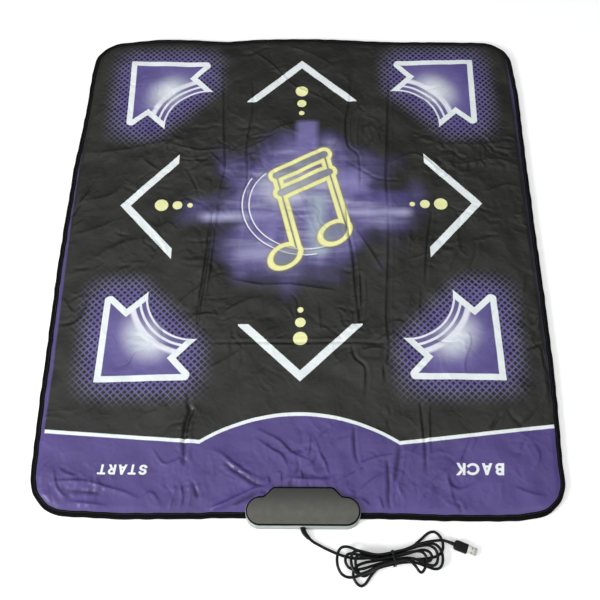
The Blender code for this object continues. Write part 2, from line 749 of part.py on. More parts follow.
def make_cord_grommet():
    """The strain relief: a flange inside, a neck in the notch and a bent ribbed sleeve."""
    steps = 12
    back = Vector((0, -1, 0))
    rings = []
    inner_v = BOX_WALL + GAP
    for v, radius in (
        (inner_v + RELIEF_FLANGE_T, RELIEF_FLANGE_R),
        (inner_v, RELIEF_FLANGE_R),
        (inner_v, RELIEF_NECK_R),
        (-GAP, RELIEF_NECK_R),
        (-GAP, RELIEF_RIB_R),
    ):
        rings.append(ring_across(box_point(0, v, RELIEF_Z), back, radius, radius, steps))
    samples = 2 * RELIEF_RIBS
    for i in range(samples + 1):
        s = i / samples
        centre = bezier(RELIEF_PATH, s)
        ahead = bezier(RELIEF_PATH, min(1, s + 0.02))
        behind = bezier(RELIEF_PATH, max(0, s - 0.02))
        radius = RELIEF_RIB_R + (RELIEF_END_R - RELIEF_RIB_R) * s
        if i % 2:
            radius -= RELIEF_GROOVE
        rings.append(ring_across(centre, (ahead - behind).normalized(), radius, radius, steps))
    bm = bmesh.new()
    add_loft(bm, rings)
    add_object("cord_grommet", bm, RUBBER)


def smooth_path(points, spacing):
    """Evenly spaced points on a smooth curve through given points."""
    dense = []
    last = len(points) - 1
    for i in range(last):
        p0 = points[max(i - 1, 0)]
        p1 = points[i]
        p2 = points[i + 1]
        p3 = points[min(i + 2, last)]
        for j in range(16):
            t = j / 16
            a = 2 * p1
            b = p2 - p0
            c = 2 * p0 - 5 * p1 + 4 * p2 - p3
            d = 3 * p1 - p0 - 3 * p2 + p3
            dense.append(0.5 * (a + b * t + c * t * t + d * t ** 3))
    dense.append(points[-1])
    return resample(dense, spacing)


def resample(dense, spacing):
    """Points at even steps along a polyline, with both of its ends."""
    total = sum((b - a).length for a, b in zip(dense, dense[1:]))
    count = max(2, round(total / spacing))
    step = total / count
    even = [dense[0]]
    travelled = 0.0
    for a, b in zip(dense, dense[1:]):
        length = (b - a).length
        while len(even) < count and travelled + length >= step * len(even):
            even.append(a.lerp(b, (step * len(even) - travelled) / length))
        travelled += length
    even.append(dense[-1])
    return even


def add_tube(name, points, diameter, mat, resolution):
    """A round tube along points, as a curve with filled ends."""
    curve = bpy.data.curves.new(name, "CURVE")
    curve.dimensions = "3D"
    curve.bevel_depth = diameter / 2
    curve.bevel_resolution = resolution
    curve.use_fill_caps = True
    spline = curve.splines.new("POLY")
    spline.points.add(len(points) - 1)
    for slot, point in zip(spline.points, points):
        slot.co = (*point, 1.0)
    curve.materials.append(mat)
    obj = bpy.data.objects.new(name, curve)
    bpy.context.collection.objects.link(obj)


# The flat tie round the waist of the hank
TIE_T = 0.8 * MM
TIE_WIDTH = 3.4 * MM
TIE_END_WIDTH = 2.4 * MM
TIE_END_RISE = 3.6 * MM
TIE_END_SPREAD = 5 * MM
TIE_END_RUN = 4 * MM
TIE_END_SUNK = 0.4 * MM

# The hank: a stack of flat loops, drawn in at the waist
WAIST = box_point(131 * MM, -45 * MM)
WAIST_TILT = 12.0
WAIST_HALF = 13 * MM
WAIST_STEP = CORD_D + 1.1 * MM
WAIST_LIFT = 1.4 * MM
LAYER_STEP = CORD_D + 0.55 * MM
HANK_FLOOR = CORD_D / 2 + 0.15 * MM
LOOPS = 5
LOBE_STEPS = 11

# One row a lobe, right and left in turn: reach and half width in mm, extra tilt in degrees
LOBES = [
    (78, 13.0, 11),
    (64, 11.0, 20),
    (56, 6.4, -11),
    (55, 12.0, 5),
    (72, 13.0, -13),
    (82, 16.5, -12),
    (64, 10.5, -17),
    (70, 9.5, -12),
    (48, 11.0, -34),
    (62, 12.0, -6),
]

# Side of the waist, in steps, where each run crosses it, and the layer it lies on there
RUN_SIDES = [1.5, -1.0, 0.5, -0.5, 1.5, -1.5, 1.5, -0.5, 0.5, -1.0, 1.5]
RUN_LAYERS = [0, 0, 0, 1, 1, 1, 2, 2, 2, 3, 3]
CLIMB_RUNS = (2, 5, 8)


def hank_point(forward, aside, layer):
    """A point of the hank from its waist, forward along the waist's own direction."""
    tilt = math.radians(WAIST_TILT)
    x = forward * math.cos(tilt) - aside * math.sin(tilt)
    y = forward * math.sin(tilt) + aside * math.cos(tilt)
    lift = WAIST_LIFT * math.exp(-((forward / (1.6 * WAIST_HALF)) ** 2))
    return Vector((WAIST.x + x, WAIST.y + y, HANK_FLOOR + layer * LAYER_STEP + lift))


def lobe_point(index, phase):
    """A point of one lobe, from where it leaves the waist to where it comes back."""
    reach, half_width, extra = LOBES[index]
    sign = 1 if index % 2 == 0 else -1
    start, end = RUN_SIDES[index], RUN_SIDES[index + 1]
    side = ((start + end) / 2 + (start - end) / 2 * math.cos(phase)) * WAIST_STEP
    bulge = sign * 2.6 * half_width * MM * math.cos(phase) * math.sin(phase) ** 2
    out = (reach * MM - WAIST_HALF) * math.sin(phase)
    bend = math.radians(extra) * math.sin(phase)
    forward = out * math.cos(bend) * sign - (side + bulge) * math.sin(bend)
    aside = out * math.sin(bend) * sign + (side + bulge) * math.cos(bend)
    layer = RUN_LAYERS[index] + (1 if index in CLIMB_RUNS else 0)
    return hank_point(forward + sign * WAIST_HALF, aside, layer)


def hank_path():
    """The whole hank as one run of points, 24 a loop."""
    path = []
    for index in range(2 * LOOPS + 1):
        sign = 1 if index % 2 == 0 else -1
        side = RUN_SIDES[index] * WAIST_STEP
        low = RUN_LAYERS[index]
        high = low + (1 if index in CLIMB_RUNS else 0)
        path.append(hank_point(-sign * WAIST_HALF, side, low))
        if index < 2 * LOOPS:
            path += [lobe_point(index, math.pi * i / LOBE_STEPS) for i in range(LOBE_STEPS)]
        else:
            path.append(hank_point(sign * WAIST_HALF, side, high))
    return path


def least_gap(path, diameter):
    """Least distance between stretches of a tube that aren't neighbours along it."""
    dense = resample(path, 1.5 * MM)
    skip = round(4 * diameter / (1.5 * MM))
    least = math.inf
    for i, a in enumerate(dense):
        for b in dense[i + skip:]:
            least = min(least, (a - b).length)
    return least - diameter


# The free stretches, from the box's front edge: the lead lies on the floor, the other
# stretch comes down from the top of the hank to the plug
LEAD_ROUTE = [
    (17, -22, 2.9),
    (28, -28, 2.4),
    (40, -33.5, 2.3),
    (51, -38, 2.3),
    (62, -41.5, 2.3),
    (74, -43.8, 2.3),
    (86, -44, 2.4),
    (97, -43, 2.7),
    (107, -41.2, 3.1),
]
TAIL_ROUTE = [
    (149, -33.0, 17.4),
    (159, -28.6, 17.2),
    (171, -24.6, 16.2),
    (183, -21.6, 14.4),
    (194, -19.6, 11.6),
    (202, -18.9, 9.2),
]
PLUG_START = box_point(210.5 * MM, -19.6 * MM, 5.8 * MM)
PLUG_END = box_point(239.6 * MM, -30.6 * MM, PLUG_HEIGHT / 2 + 0.4 * MM)


def route(points):
    """Route points in mm as world points."""
    return [box_point(u * MM, v * MM, z * MM) for u, v, z in points]


def stretch(start, start_way, middle, end, end_way):
    """A free stretch of cord, straight for one diameter at both ends."""
    bend = [start + start_way * CORD_D] + middle + [end - end_way * CORD_D]
    return [start] + smooth_path(bend, 2.2 * CORD_D) + [end]


def make_cord():
    """The lead, the hank and the stretch to the plug, face to face."""
    hank = hank_path()
    start, direction = relief_end()
    first = start + direction * GAP
    toward = (hank[1] - hank[0]).normalized()
    lead_end = hank[0] - toward * GAP
    lead = stretch(first, direction, route(LEAD_ROUTE), lead_end, toward)
    add_tube("cord_lead", lead, CORD_D, CORD, 2)

    add_tube("cord_hank", hank, CORD_D, CORD, 1)
    print("least gap of the hank to itself, mm:", round(least_gap(hank, CORD_D) / MM, 2))

    away = (hank[-1] - hank[-2]).normalized()
    tail_start = hank[-1] + away * GAP
    plug_way = (PLUG_END - PLUG_START).normalized()
    tail_end = PLUG_START - plug_way * GAP
    tail = stretch(tail_start, away, route(TAIL_ROUTE), tail_end, plug_way)
    add_tube("cord_tail", tail, CORD_D, CORD, 2)

    lead_z = BOARD_TOP + GAP + INNER_LEAD_D / 2
    inner = BOX_WALL + GAP + RELIEF_FLANGE_T + GAP
    inside = [
        box_point(0, inner, RELIEF_Z),
        box_point(0, inner + 1.5 * MM, RELIEF_Z),
        box_point(0.5 * MM, inner + 4 * MM, lead_z + 0.2 * MM),
        box_point(2 * MM, inner + 8 * MM, lead_z + 0.1 * MM),
    ]
    add_tube("inner_lead", smooth_path(inside, 1.6 * MM), INNER_LEAD_D, CORD, 2)
    return hank


def make_twist_tie():
    """A flat tie round the waist of the hank, with its two ends twisted up."""
    thickness = TIE_T
    width = TIE_WIDTH
    tilt = math.radians(WAIST_TILT)
    forward = Vector((math.cos(tilt), math.sin(tilt), 0))
    aside = Vector((-math.sin(tilt), math.cos(tilt), 0))
    half = 1.5 * WAIST_STEP + CORD_D / 2 + GAP
    low = GAP
    layers = max(RUN_LAYERS)
    high = HANK_FLOOR + WAIST_LIFT + layers * LAYER_STEP + CORD_D / 2 + GAP
    corner = CORD_D / 2
    middle = (low + thickness + high) / 2
    inner = rounded_rectangle((0, middle), 2 * half, high - low - thickness, corner, 3)
    outer = grow_outline(inner, thickness)
    rings = []
    for outline, end in ((inner, -1), (outer, -1), (outer, 1), (inner, 1)):
        ring = []
        for s, z in outline:
            place = WAIST + aside * s + forward * (end * width / 2)
            ring.append(Vector((place.x, place.y, z)))
        rings.append(ring)
    bm = bmesh.new()
    add_loft(bm, rings, cap_ends=False)
    band = add_object("twist_tie", bm, BINDING)

    for lean in (-1, 1):
        bm = bmesh.new()
        rings = []
        for i in range(5):
            s = i / 4
            centre = WAIST + aside * (0.35 * half + lean * TIE_END_SPREAD * s * s)
            centre += forward * (lean * (GAP + TIE_END_RUN * s))
            centre.z = high + thickness / 2 + 0.2 * MM + TIE_END_RISE * s
            turn = math.pi * s
            across = (forward * math.cos(turn) + aside * math.sin(turn)) * TIE_END_WIDTH / 2
            thin = (aside * math.cos(turn) - forward * math.sin(turn)) * thickness / 2
            corners = [(-1, -1), (1, -1), (1, 1), (-1, 1)]
            rings.append([centre + across * a + thin * b for a, b in corners])
        rings[0] = [point - Vector((0, 0, TIE_END_SUNK)) for point in rings[0]]
        add_loft(bm, rings)
        boolean(band, add_object("tie_end_tool", bm, TOOL), "UNION")


def make_plug():
    """The plug: a moulded grip with a ribbed neck, a sheet metal shell and its tongue."""
    way = (PLUG_END - PLUG_START).normalized()
    rings = []
    neck_steps = 6
    thin_end = CORD_D / 2 + NECK_WALL
    for i in range(neck_steps + 1):
        s = i / neck_steps
        radius = thin_end + (NECK_R - thin_end) * s
        if i % 2:
            radius += NECK_RIB
        centre = PLUG_START + way * (NECK_LENGTH * s)
        rings.append(ring_across(centre, way, radius, radius, 16))
    body = [
        (0.6, 0.0, 3.0),
        (0.86, 0.12, 4.0),
        (0.97, 0.22, 5.0),
        (1.0, 0.35, 6.0),
        (1.0, 0.96, 6.0),
        (0.94, 1.0, 6.0),
    ]
    grip_start = NECK_LENGTH + NECK_SHOULDER
    for share, forward, flatness in body:
        centre = PLUG_START + way * (grip_start + forward * PLUG_LENGTH)
        half_w = share * PLUG_WIDTH / 2
        half_h = share * PLUG_HEIGHT / 2
        rings.append(ring_across(centre, way, half_w, half_h, 16, flatness))
    bm = bmesh.new()
    add_loft(bm, rings)
    add_object("plug_overmould", bm, RUBBER)

    face = PLUG_START + way * (grip_start + PLUG_LENGTH + GAP)
    side = way.cross(Vector((0, 0, 1))).normalized()
    up = side.cross(way).normalized()
    half_w = PLUG_SHELL_WIDTH / 2
    half_h = PLUG_SHELL_HEIGHT / 2
    rings = []
    wall = PLUG_SHELL_SHEET
    section = [(0, wall), (0, 0), (PLUG_SHELL_LENGTH, 0), (PLUG_SHELL_LENGTH, wall)]
    for along, inset in section:
        size = (2 * (half_w - inset), 2 * (half_h - inset))
        outline = rounded_rectangle((0, 0), size[0], size[1], PLUG_SHELL_CORNER - inset, 2)
        rings.append([face + way * along + side * x + up * y for x, y in outline])
    bm = bmesh.new()
    add_loft(bm, rings, cap_ends=False)
    add_object("plug_shell", bm, STEEL)

    bm = bmesh.new()
    inner_w = half_w - PLUG_SHELL_SHEET - GAP
    top = -half_h + PLUG_SHELL_SHEET + GAP
    rings = []
    for along in (0.0, PLUG_SHELL_LENGTH - 1 * MM):
        ring = [(-inner_w, top), (inner_w, top), (inner_w, top + TONGUE_T), (-inner_w, top + TONGUE_T)]
        rings.append([face + way * along + side * x + up * y for x, y in ring])
    add_loft(bm, rings)
    add_object("plug_tongue", bm, WHITE)


for old in list(bpy.data.objects):
    bpy.data.objects.remove(old, do_unlink=True)

TOOL = make_material("tool", (0.8, 0.2, 0.2), 0.5)
VINYL = make_material("printed_vinyl", (0.035, 0.03, 0.045), 0.38)
RUBBERY = make_material("non_slip_backing", (0.02, 0.02, 0.022), 0.8)
FILM = make_material("clear_film", (0.55, 0.57, 0.6), 0.3)
CARBON = make_material("carbon_ink_film", (0.05, 0.05, 0.055), 0.5)
FOAM = make_material("open_foam", (0.45, 0.45, 0.43), 0.95)
BINDING = make_material("black_binding", (0.008, 0.009, 0.012), 0.75)
LID = make_material("dark_grey_abs", (0.15, 0.148, 0.135), 0.5)
BAND = make_material("light_grey_abs", (0.33, 0.36, 0.35), 0.45)
STEEL = make_material("plated_steel", (0.6, 0.6, 0.62), 0.3, 1.0)
RUBBER = make_material("black_rubber", (0.012, 0.012, 0.013), 0.6)
CORD = make_material("cord_jacket", (0.008, 0.007, 0.007), 0.42)
BOARD = make_material("board_laminate", (0.25, 0.16, 0.05), 0.5)
WHITE = make_material("white_insulator", (0.8, 0.8, 0.78), 0.5)

WINDOWS = make_window_cutter()
NOTCH = make_notch_cutter()
POST_HOLES = make_post_holes()

make_mat_sheets()
make_binding()
make_step_fields()
make_lower_shell()
make_upper_shell()
make_screws()
make_electronics()
make_cord_grommet()
make_cord()
make_twist_tie()
make_plug()
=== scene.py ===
"""Soft dance mat controller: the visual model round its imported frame.

The mat's printed sheet is one wrinkled surface, cut where the ten step fields move, and
sewn into a folded band. A moulded control box takes its near edge, and a black cord in
a tied hank runs from the box to a USB plug. Metres, +Z up, the box on the -Y edge.
"""

import logging
import math
from dataclasses import dataclass, field
from enum import Enum
from typing import Any, Iterable, Sequence

import bmesh
import bpy
import numpy as np
from mathutils import Euler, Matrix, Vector


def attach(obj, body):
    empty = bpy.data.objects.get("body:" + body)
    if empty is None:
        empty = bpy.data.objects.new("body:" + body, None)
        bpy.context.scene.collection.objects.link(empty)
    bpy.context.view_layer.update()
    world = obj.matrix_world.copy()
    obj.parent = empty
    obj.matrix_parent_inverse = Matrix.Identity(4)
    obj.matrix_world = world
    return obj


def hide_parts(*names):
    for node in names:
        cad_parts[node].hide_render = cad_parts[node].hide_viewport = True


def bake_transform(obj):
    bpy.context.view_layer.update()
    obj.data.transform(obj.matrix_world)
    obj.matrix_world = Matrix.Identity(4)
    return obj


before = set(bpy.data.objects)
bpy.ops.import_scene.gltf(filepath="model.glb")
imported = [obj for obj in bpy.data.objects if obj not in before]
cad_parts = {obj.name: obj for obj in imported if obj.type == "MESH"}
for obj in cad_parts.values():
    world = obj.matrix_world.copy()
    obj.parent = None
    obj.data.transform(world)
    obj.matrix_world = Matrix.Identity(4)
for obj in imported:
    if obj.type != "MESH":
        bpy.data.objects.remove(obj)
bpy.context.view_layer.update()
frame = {"nodes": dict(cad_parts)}

LOG = logging.getLogger("dance_mat")
MM = 0.001
WHITE = (1.0, 1.0, 1.0, 1.0)
UP = Vector((0, 0, 1))
SLANT = 0.7071  # sine and cosine of a half right angle
ANYWHERE = 999.0  # a limit past every edge of the mat, in mm
Point = tuple[float, float]
Form = tuple[list, list]  # points and faces

# Kinds of node that the print and the finishes use most
MATH = "ShaderNodeMath"
VECTOR = "ShaderNodeVectorMath"
MIX = "ShaderNodeMix"
RANGE = "ShaderNodeMapRange"
NOISE = "ShaderNodeTexNoise"
JOINED = "ShaderNodeCombineXYZ"
SPLIT = "ShaderNodeSeparateXYZ"
COORDINATES = "ShaderNodeTexCoord"
BUMP = "ShaderNodeBump"


def linear(code: str) -> tuple[float, float, float, float]:
    """Turn an sRGB hex colour into a linear one.

    Args:
        code: a colour such as "#5f4f93".

    Returns:
        Red, green, blue and alpha, linear.
    """
    channels = [int(code[i:i + 2], 16) / 255 for i in (1, 3, 5)]
    lit = [c / 12.92 if c <= 0.04045 else ((c + 0.055) / 1.055) ** 2.4 for c in channels]
    return (*lit, 1.0)


@dataclass
class Graph:
    """The nodes of one material or geometry tree."""

    tree: bpy.types.NodeTree

    def fill(self, node: Any, values: dict) -> None:
        """Set or link inputs of a node.

        Args:
            node: the node.
            values: a number, colour or socket for each input, by its name or place.
        """
        for key, value in values.items():
            if isinstance(value, bpy.types.NodeSocket):
                self.tree.links.new(value, node.inputs[key])
            else:
                node.inputs[key].default_value = value

    def add(self, kind: str, *values: Any, out: Any = 0, named: dict | None = None,
            **settings: Any) -> bpy.types.NodeSocket:
        """Add a node with its settings and links.

        Args:
            kind: the node's type name.
            values: a number, colour or socket for each of the first inputs in order.
            out: the name or place of the output to return.
            named: values of further inputs, by name or place.
            settings: the node's own properties.

        Returns:
            One output socket of the node.
        """
        node = self.tree.nodes.new(kind)
        for key, value in settings.items():
            setattr(node, key, value)
        self.fill(node, {**dict(enumerate(values)), **(named or {})})
        return node.outputs[out]

    def join(self, operation: str, sockets: Sequence[Any]) -> Any:
        """Bring several values down to one by an operation on two.

        Args:
            operation: the operation's name.
            sockets: the values.

        Returns:
            The last result.
        """
        total = sockets[0]
        for socket in sockets[1:]:
            total = self.add(MATH, total, socket, operation=operation)
        return total

    def paint(self, under: Any, mask: Any, ink: Any) -> Any:
        """Lay an ink over a colour where the mask is 1; either may be an sRGB hex code."""
        tones = [linear(tone) if isinstance(tone, str) else tone for tone in (under, ink)]
        return self.add(MIX, mask, named=dict(zip((6, 7), tones)), out=2, data_type="RGBA")


def new_material(name: str) -> tuple[bpy.types.Material, Graph, Any]:
    """Start a material: the material, its graph and its Principled shader.

    Args:
        name: its name.

    Returns:
        The material, its graph and its Principled shader.
    """
    material = bpy.data.materials.new(name)
    material.use_nodes = True
    return material, Graph(material.node_tree), material.node_tree.nodes["Principled BSDF"]


def put(name: str, data: Any) -> bpy.types.Object:
    """Place data in the scene as an object at the origin.

    Args:
        name: the object's name.
        data: its mesh, curve, camera or lamp.

    Returns:
        The object.
    """
    thing = bpy.data.objects.new(name, data)
    bpy.context.collection.objects.link(thing)
    return thing


def closed_mesh(name: str, points: Any, faces: Iterable[Sequence[int]]) -> bpy.types.Mesh:
    """Make a mesh whose faces point outwards.

    Args:
        name: the mesh's name.
        points: its vertices, in metres.
        faces: its faces as rows of vertex numbers.

    Returns:
        The mesh.
    """
    mesh = bpy.data.meshes.new(name)
    mesh.from_pydata([tuple(p) for p in points], [], [list(f) for f in faces])
    bm = bmesh.new()
    bm.from_mesh(mesh)
    bmesh.ops.recalc_face_normals(bm, faces=bm.faces)
    bm.to_mesh(mesh)
    bm.free()
    return mesh


def smooth(mesh: bpy.types.Mesh, sharp_angle: float) -> None:
    """Shade a mesh smoothly but for edges sharper than an angle in degrees."""
    mesh.shade_smooth()
    mesh.set_sharp_from_angle(angle=math.radians(sharp_angle))


def new_piece(name: str, form: Form, material: bpy.types.Material,
              sharp_angle: float = 40.0) -> bpy.types.Object:
    """Make a mesh piece at the origin.

    Args:
        name: the piece's name.
        form: its points, in metres, and its faces.
        material: its finish.
        sharp_angle: edges sharper than this, in degrees, stay sharp.

    Returns:
        The new object.
    """
    mesh = closed_mesh(name, *form)
    smooth(mesh, sharp_angle)
    mesh.materials.append(material)
    return put(name, mesh)


def evaluated(thing: bpy.types.Object) -> bpy.types.Mesh:
    """The plain mesh that an object's modifiers make.

    Args:
        thing: the object.

    Returns:
        The new mesh.
    """
    bpy.context.view_layer.update()
    graph = bpy.context.evaluated_depsgraph_get()
    return bpy.data.meshes.new_from_object(thing.evaluated_get(graph))


def carve(piece: bpy.types.Object, tool: Form, operation: str) -> None:
    """Join a closed form to a piece, or cut it away.

    Args:
        piece: the piece to change.
        tool: the closed form.
        operation: UNION or DIFFERENCE.
    """
    other = put("tool", closed_mesh("tool", *tool))
    change = piece.modifiers.new("shape", "BOOLEAN")
    change.operation = operation
    change.solver = "EXACT"
    change.object = other
    new = evaluated(piece)
    piece.modifiers.remove(change)
    old, piece.data = piece.data, new
    smooth(new, 35.0)
    bpy.data.meshes.remove(old)
    bpy.data.objects.remove(other)


def declare(piece: bpy.types.Object, slot: str, *nodes: str) -> None:
    """Fix a piece to the mat, and report it.

    Args:
        piece: the piece.
        slot: not used.
        nodes: the nodes of the frame that it stands for.
    """
    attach(piece, "mat")
    if nodes:
        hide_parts(*nodes)
    if piece.type == "MESH":
        LOG.info("%s: %d faces", piece.name, len(piece.data.polygons))


def loft(rings: Sequence[Sequence[Any]], first: int = 0, capped: bool = True) -> Form:
    """Join rings of points by quads.

    Args:
        rings: rings with the same number of points each.
        first: the number of the first vertex.
        capped: close the two ends, else join the last ring to the first.

    Returns:
        Points and faces.
    """
    count = len(rings[0])
    points = [p for ring in rings for p in ring]
    faces = []
    for k in range(len(rings) - capped):
        low = first + k * count
        high = first + (k + 1) % len(rings) * count
        for i in range(count):
            j = (i + 1) % count
            faces.append((low + i, low + j, high + j, high + i))
    if capped:
        faces.append(tuple(first + i for i in reversed(range(count))))
        faces.append(tuple(first + (len(rings) - 1) * count + i for i in range(count)))
    return points, faces


def lofts(bars: Iterable[Sequence[Sequence[Any]]]) -> Form:
    """Several closed lofts as one form.

    Args:
        bars: the rings of each loft.

    Returns:
        Points and faces.
    """
    points, faces = [], []
    for rings in bars:
        some, more = loft(rings, first=len(points))
        points += some
        faces += more
    return points, faces


def arc(centre: Point, radius: float, start: float, end: float, steps: int) -> list[Point]:
    """Points on an arc, angles in degrees."""
    turns = [math.radians(start + (end - start) * i / steps) for i in range(steps + 1)]
    return [(centre[0] + radius * math.cos(a), centre[1] + radius * math.sin(a)) for a in turns]


def rounded_rectangle(centre: Point, width: float, depth: float, radius: float,
                      steps: int) -> list[Point]:
    """A rectangle with round corners, counterclockwise from its near right corner.

    Args:
        centre: its middle.
        width: its size along the first axis.
        depth: its size along the second axis.
        radius: radius of its corners.
        steps: steps round each corner.

    Returns:
        Its points.
    """
    hx, hy = width / 2 - radius, depth / 2 - radius
    points = []
    for sx, sy, start in ((1, -1, -90), (1, 1, 0), (-1, 1, 90), (-1, -1, 180)):
        place = (centre[0] + sx * hx, centre[1] + sy * hy)
        points += arc(place, radius, start, start + 90, steps)
    return points


def grow(points: Sequence[Point], distance: float) -> list[Point]:
    """Move each point of a counterclockwise outline out along its own normal.

    Args:
        points: the outline.
        distance: how far its edges move out.

    Returns:
        The new outline.
    """
    here = np.array(points)
    back = here - np.roll(here, 1, axis=0)
    ahead = np.roll(here, -1, axis=0) - here
    back /= np.linalg.norm(back, axis=1)[:, None]
    ahead /= np.linalg.norm(ahead, axis=1)[:, None]
    normal = np.stack([back[:, 1] + ahead[:, 1], -back[:, 0] - ahead[:, 0]], axis=1)
    normal /= np.linalg.norm(normal, axis=1)[:, None]
    spread = (normal * np.stack([back[:, 1], -back[:, 0]], axis=1)).sum(axis=1)
    return [tuple(p) for p in here + normal * (distance / spread)[:, None]]


def squarish(turn: float, width_power: float, height_power: float) -> Point:
    """A point on a unit circle that powers under 1 swell towards a square."""
    c, s = math.cos(turn), math.sin(turn)
    return math.copysign(abs(c) ** width_power, c), math.copysign(abs(s) ** height_power, s)


def ring_across(centre: Vector, way: Vector, half_width: float, half_height: float,
                steps: int, flatness: float = 2.0) -> list[Vector]:
    """A ring square to a direction.

    Args:
        centre: its middle.
        way: the direction.
        half_width: half its size along the floor.
        half_height: half its size upwards.
        steps: number of its points.
        flatness: 2 for a round ring, more for one nearer a rectangle.

    Returns:
        Its points.
    """
    side, up = square_to(way)
    ring = []
    for i in range(steps):
        x, y = squarish(2 * math.pi * (i + 0.5) / steps, 2 / flatness, 2 / flatness)
        ring.append(centre + side * x * half_width + up * y * half_height)
    return ring


def square_to(way: Vector) -> tuple[Vector, Vector]:
    """The level and the upward direction square to a way."""
    side = way.cross(UP).normalized()
    return side, side.cross(way).normalized()


def flat_ring(place: Vector, radius: float, z: float, steps: int) -> list[Vector]:
    """A level round ring over a place on the floor."""
    turns = [2 * math.pi * i / steps for i in range(steps)]
    return [place + Vector((radius * math.cos(a), radius * math.sin(a), z)) for a in turns]


def smooth_path(points: Sequence[Vector], spacing: float) -> list[Vector]:
    """Evenly spaced points on a smooth curve through given points.

    Args:
        points: places that the curve passes through.
        spacing: distance from one point to the next.

    Returns:
        The new points, both ends among them.
    """
    dense = []
    last = len(points) - 1
    for i in range(last):
        p0, p1 = points[max(i - 1, 0)], points[i]
        p2, p3 = points[i + 1], points[min(i + 2, last)]
        for j in range(16):
            t = j / 16
            dense.append(0.5 * (2 * p1 + (p2 - p0) * t
                                + (2 * p0 - 5 * p1 + 4 * p2 - p3) * t * t
                                + (3 * p1 - p0 - 3 * p2 + p3) * t ** 3))
    dense.append(points[-1])
    marks = np.array([tuple(p) for p in dense])
    run = np.concatenate([[0.0], np.cumsum(np.linalg.norm(np.diff(marks, axis=0), axis=1))])
    even = np.linspace(0.0, run[-1], max(2, round(run[-1] / spacing)) + 1)
    return [Vector([float(np.interp(s, run, marks[:, k])) for k in range(3)]) for s in even]


@dataclass(frozen=True)
class Plan:
    """Sizes that the pieces share, as the frame has them, in metres."""

    width: float = 820 * MM
    depth: float = 930 * MM
    corner: float = 58 * MM
    middle_y: float = 6 * MM
    box_x: float = 6 * MM
    box_front: float = -471 * MM
    box_depth: float = 43 * MM
    overhang: float = 12 * MM
    box_width: float = 170 * MM
    hump_width: float = 84 * MM
    hump_depth: float = 14 * MM
    shoulder: float = 20 * MM
    pattern_y: float = 91 * MM
    pitch: Point = (255 * MM, 252 * MM)

    def box_point(self, u: float, v: float, z: float = 0.0) -> Vector:
        """A place in mm from the middle of the box's front edge, as a world point."""
        return Vector((self.box_x + u * MM, self.box_front + v * MM, z * MM))

    def hump_rise(self, u: float) -> float:
        """How far the back of the box stands out at a distance from its middle."""
        s = min(max(1 - (abs(u) - self.hump_width / 2) / self.shoulder, 0.0), 1.0)
        return self.hump_depth * (1 - math.cos(math.pi * s)) / 2

    def box_outline(self, inset: float = 0.0, steps: int = 30) -> list[Point]:
        """The plan of the box: a bar with round ends, and a hump towards the mat.

        Args:
            inset: how far it is drawn in.
            steps: steps round each end.

        Returns:
            Its points, counterclockwise.
        """
        end_r = self.box_depth / 2
        half = arc((self.box_width / 2 - end_r, end_r), end_r, -90, 90, steps)
        for i in range(1, 17):
            u = self.hump_width / 2 + self.shoulder * (1 - i / 16)
            half.append((u, self.box_depth + self.hump_rise(u)))
        half += [(u, self.box_depth + self.hump_depth) for u in (30 * MM, 15 * MM)]
        left = [(-u, v) for u, v in reversed(half)]
        front = [(u * MM, 0.0) for u in (-40, -20, 20, 40)]
        plan = [(self.box_x + u, self.box_front + v) for u, v in half + left + front]
        return grow(plan, -inset) if inset else plan

    def from_edge(self, x: np.ndarray, y: np.ndarray) -> tuple[np.ndarray, np.ndarray]:
        """Measure places against the mat's cut edge.

        Args:
            x: their first coordinates, in mm.
            y: their second coordinates, in mm.

        Returns:
            How far inside the edge each lies, in mm, and its unit way out near the edge.
        """
        y = y - self.middle_y / MM
        qx = np.abs(x) - (self.width / 2 - self.corner) / MM
        qy = np.abs(y) - (self.depth / 2 - self.corner) / MM
        way = np.stack([np.maximum(qx, 0) * np.sign(x), np.maximum(qy, 0) * np.sign(y)], axis=-1)
        out = np.hypot(way[..., 0], way[..., 1])
        inside = self.corner / MM - out - np.minimum(np.maximum(qx, qy), 0)
        return inside, way / np.maximum(out, 1e-6)[..., None]


PLAN = Plan()

# How far the laid mat's rim stands from its cut outline: direction in degrees, outward mm
RIM_STRAY = (
    (0, -2.8), (20, -2.8), (30, -0.8), (36, -0.5), (40, -4.0), (46, -11.8), (50, -10.2),
    (57, -8.0), (65, -8.4), (72, -7.0), (80, -2.5), (90, -1.0), (100, -2.5), (106, -5.0),
    (110, -9.0), (115, -5.8), (120, -3.2), (125, -3.5), (130, -12.0), (135, -17.5),
    (140, -6.0), (150, -4.3), (155, -1.8), (160, 2.0), (170, 3.1), (185, 5.0), (190, 4.2),
    (200, 2.0), (212, 0.8), (220, -1.8), (225, -5.5), (230, -1.0), (238, 2.6), (248, 1.6),
    (254, 0.0), (287, 0.0), (292, 1.0), (300, 2.0), (308, 2.4), (315, -9.2), (320, -9.5),
    (325, -6.8), (330, -4.5), (340, -2.6), (350, -2.2),
)


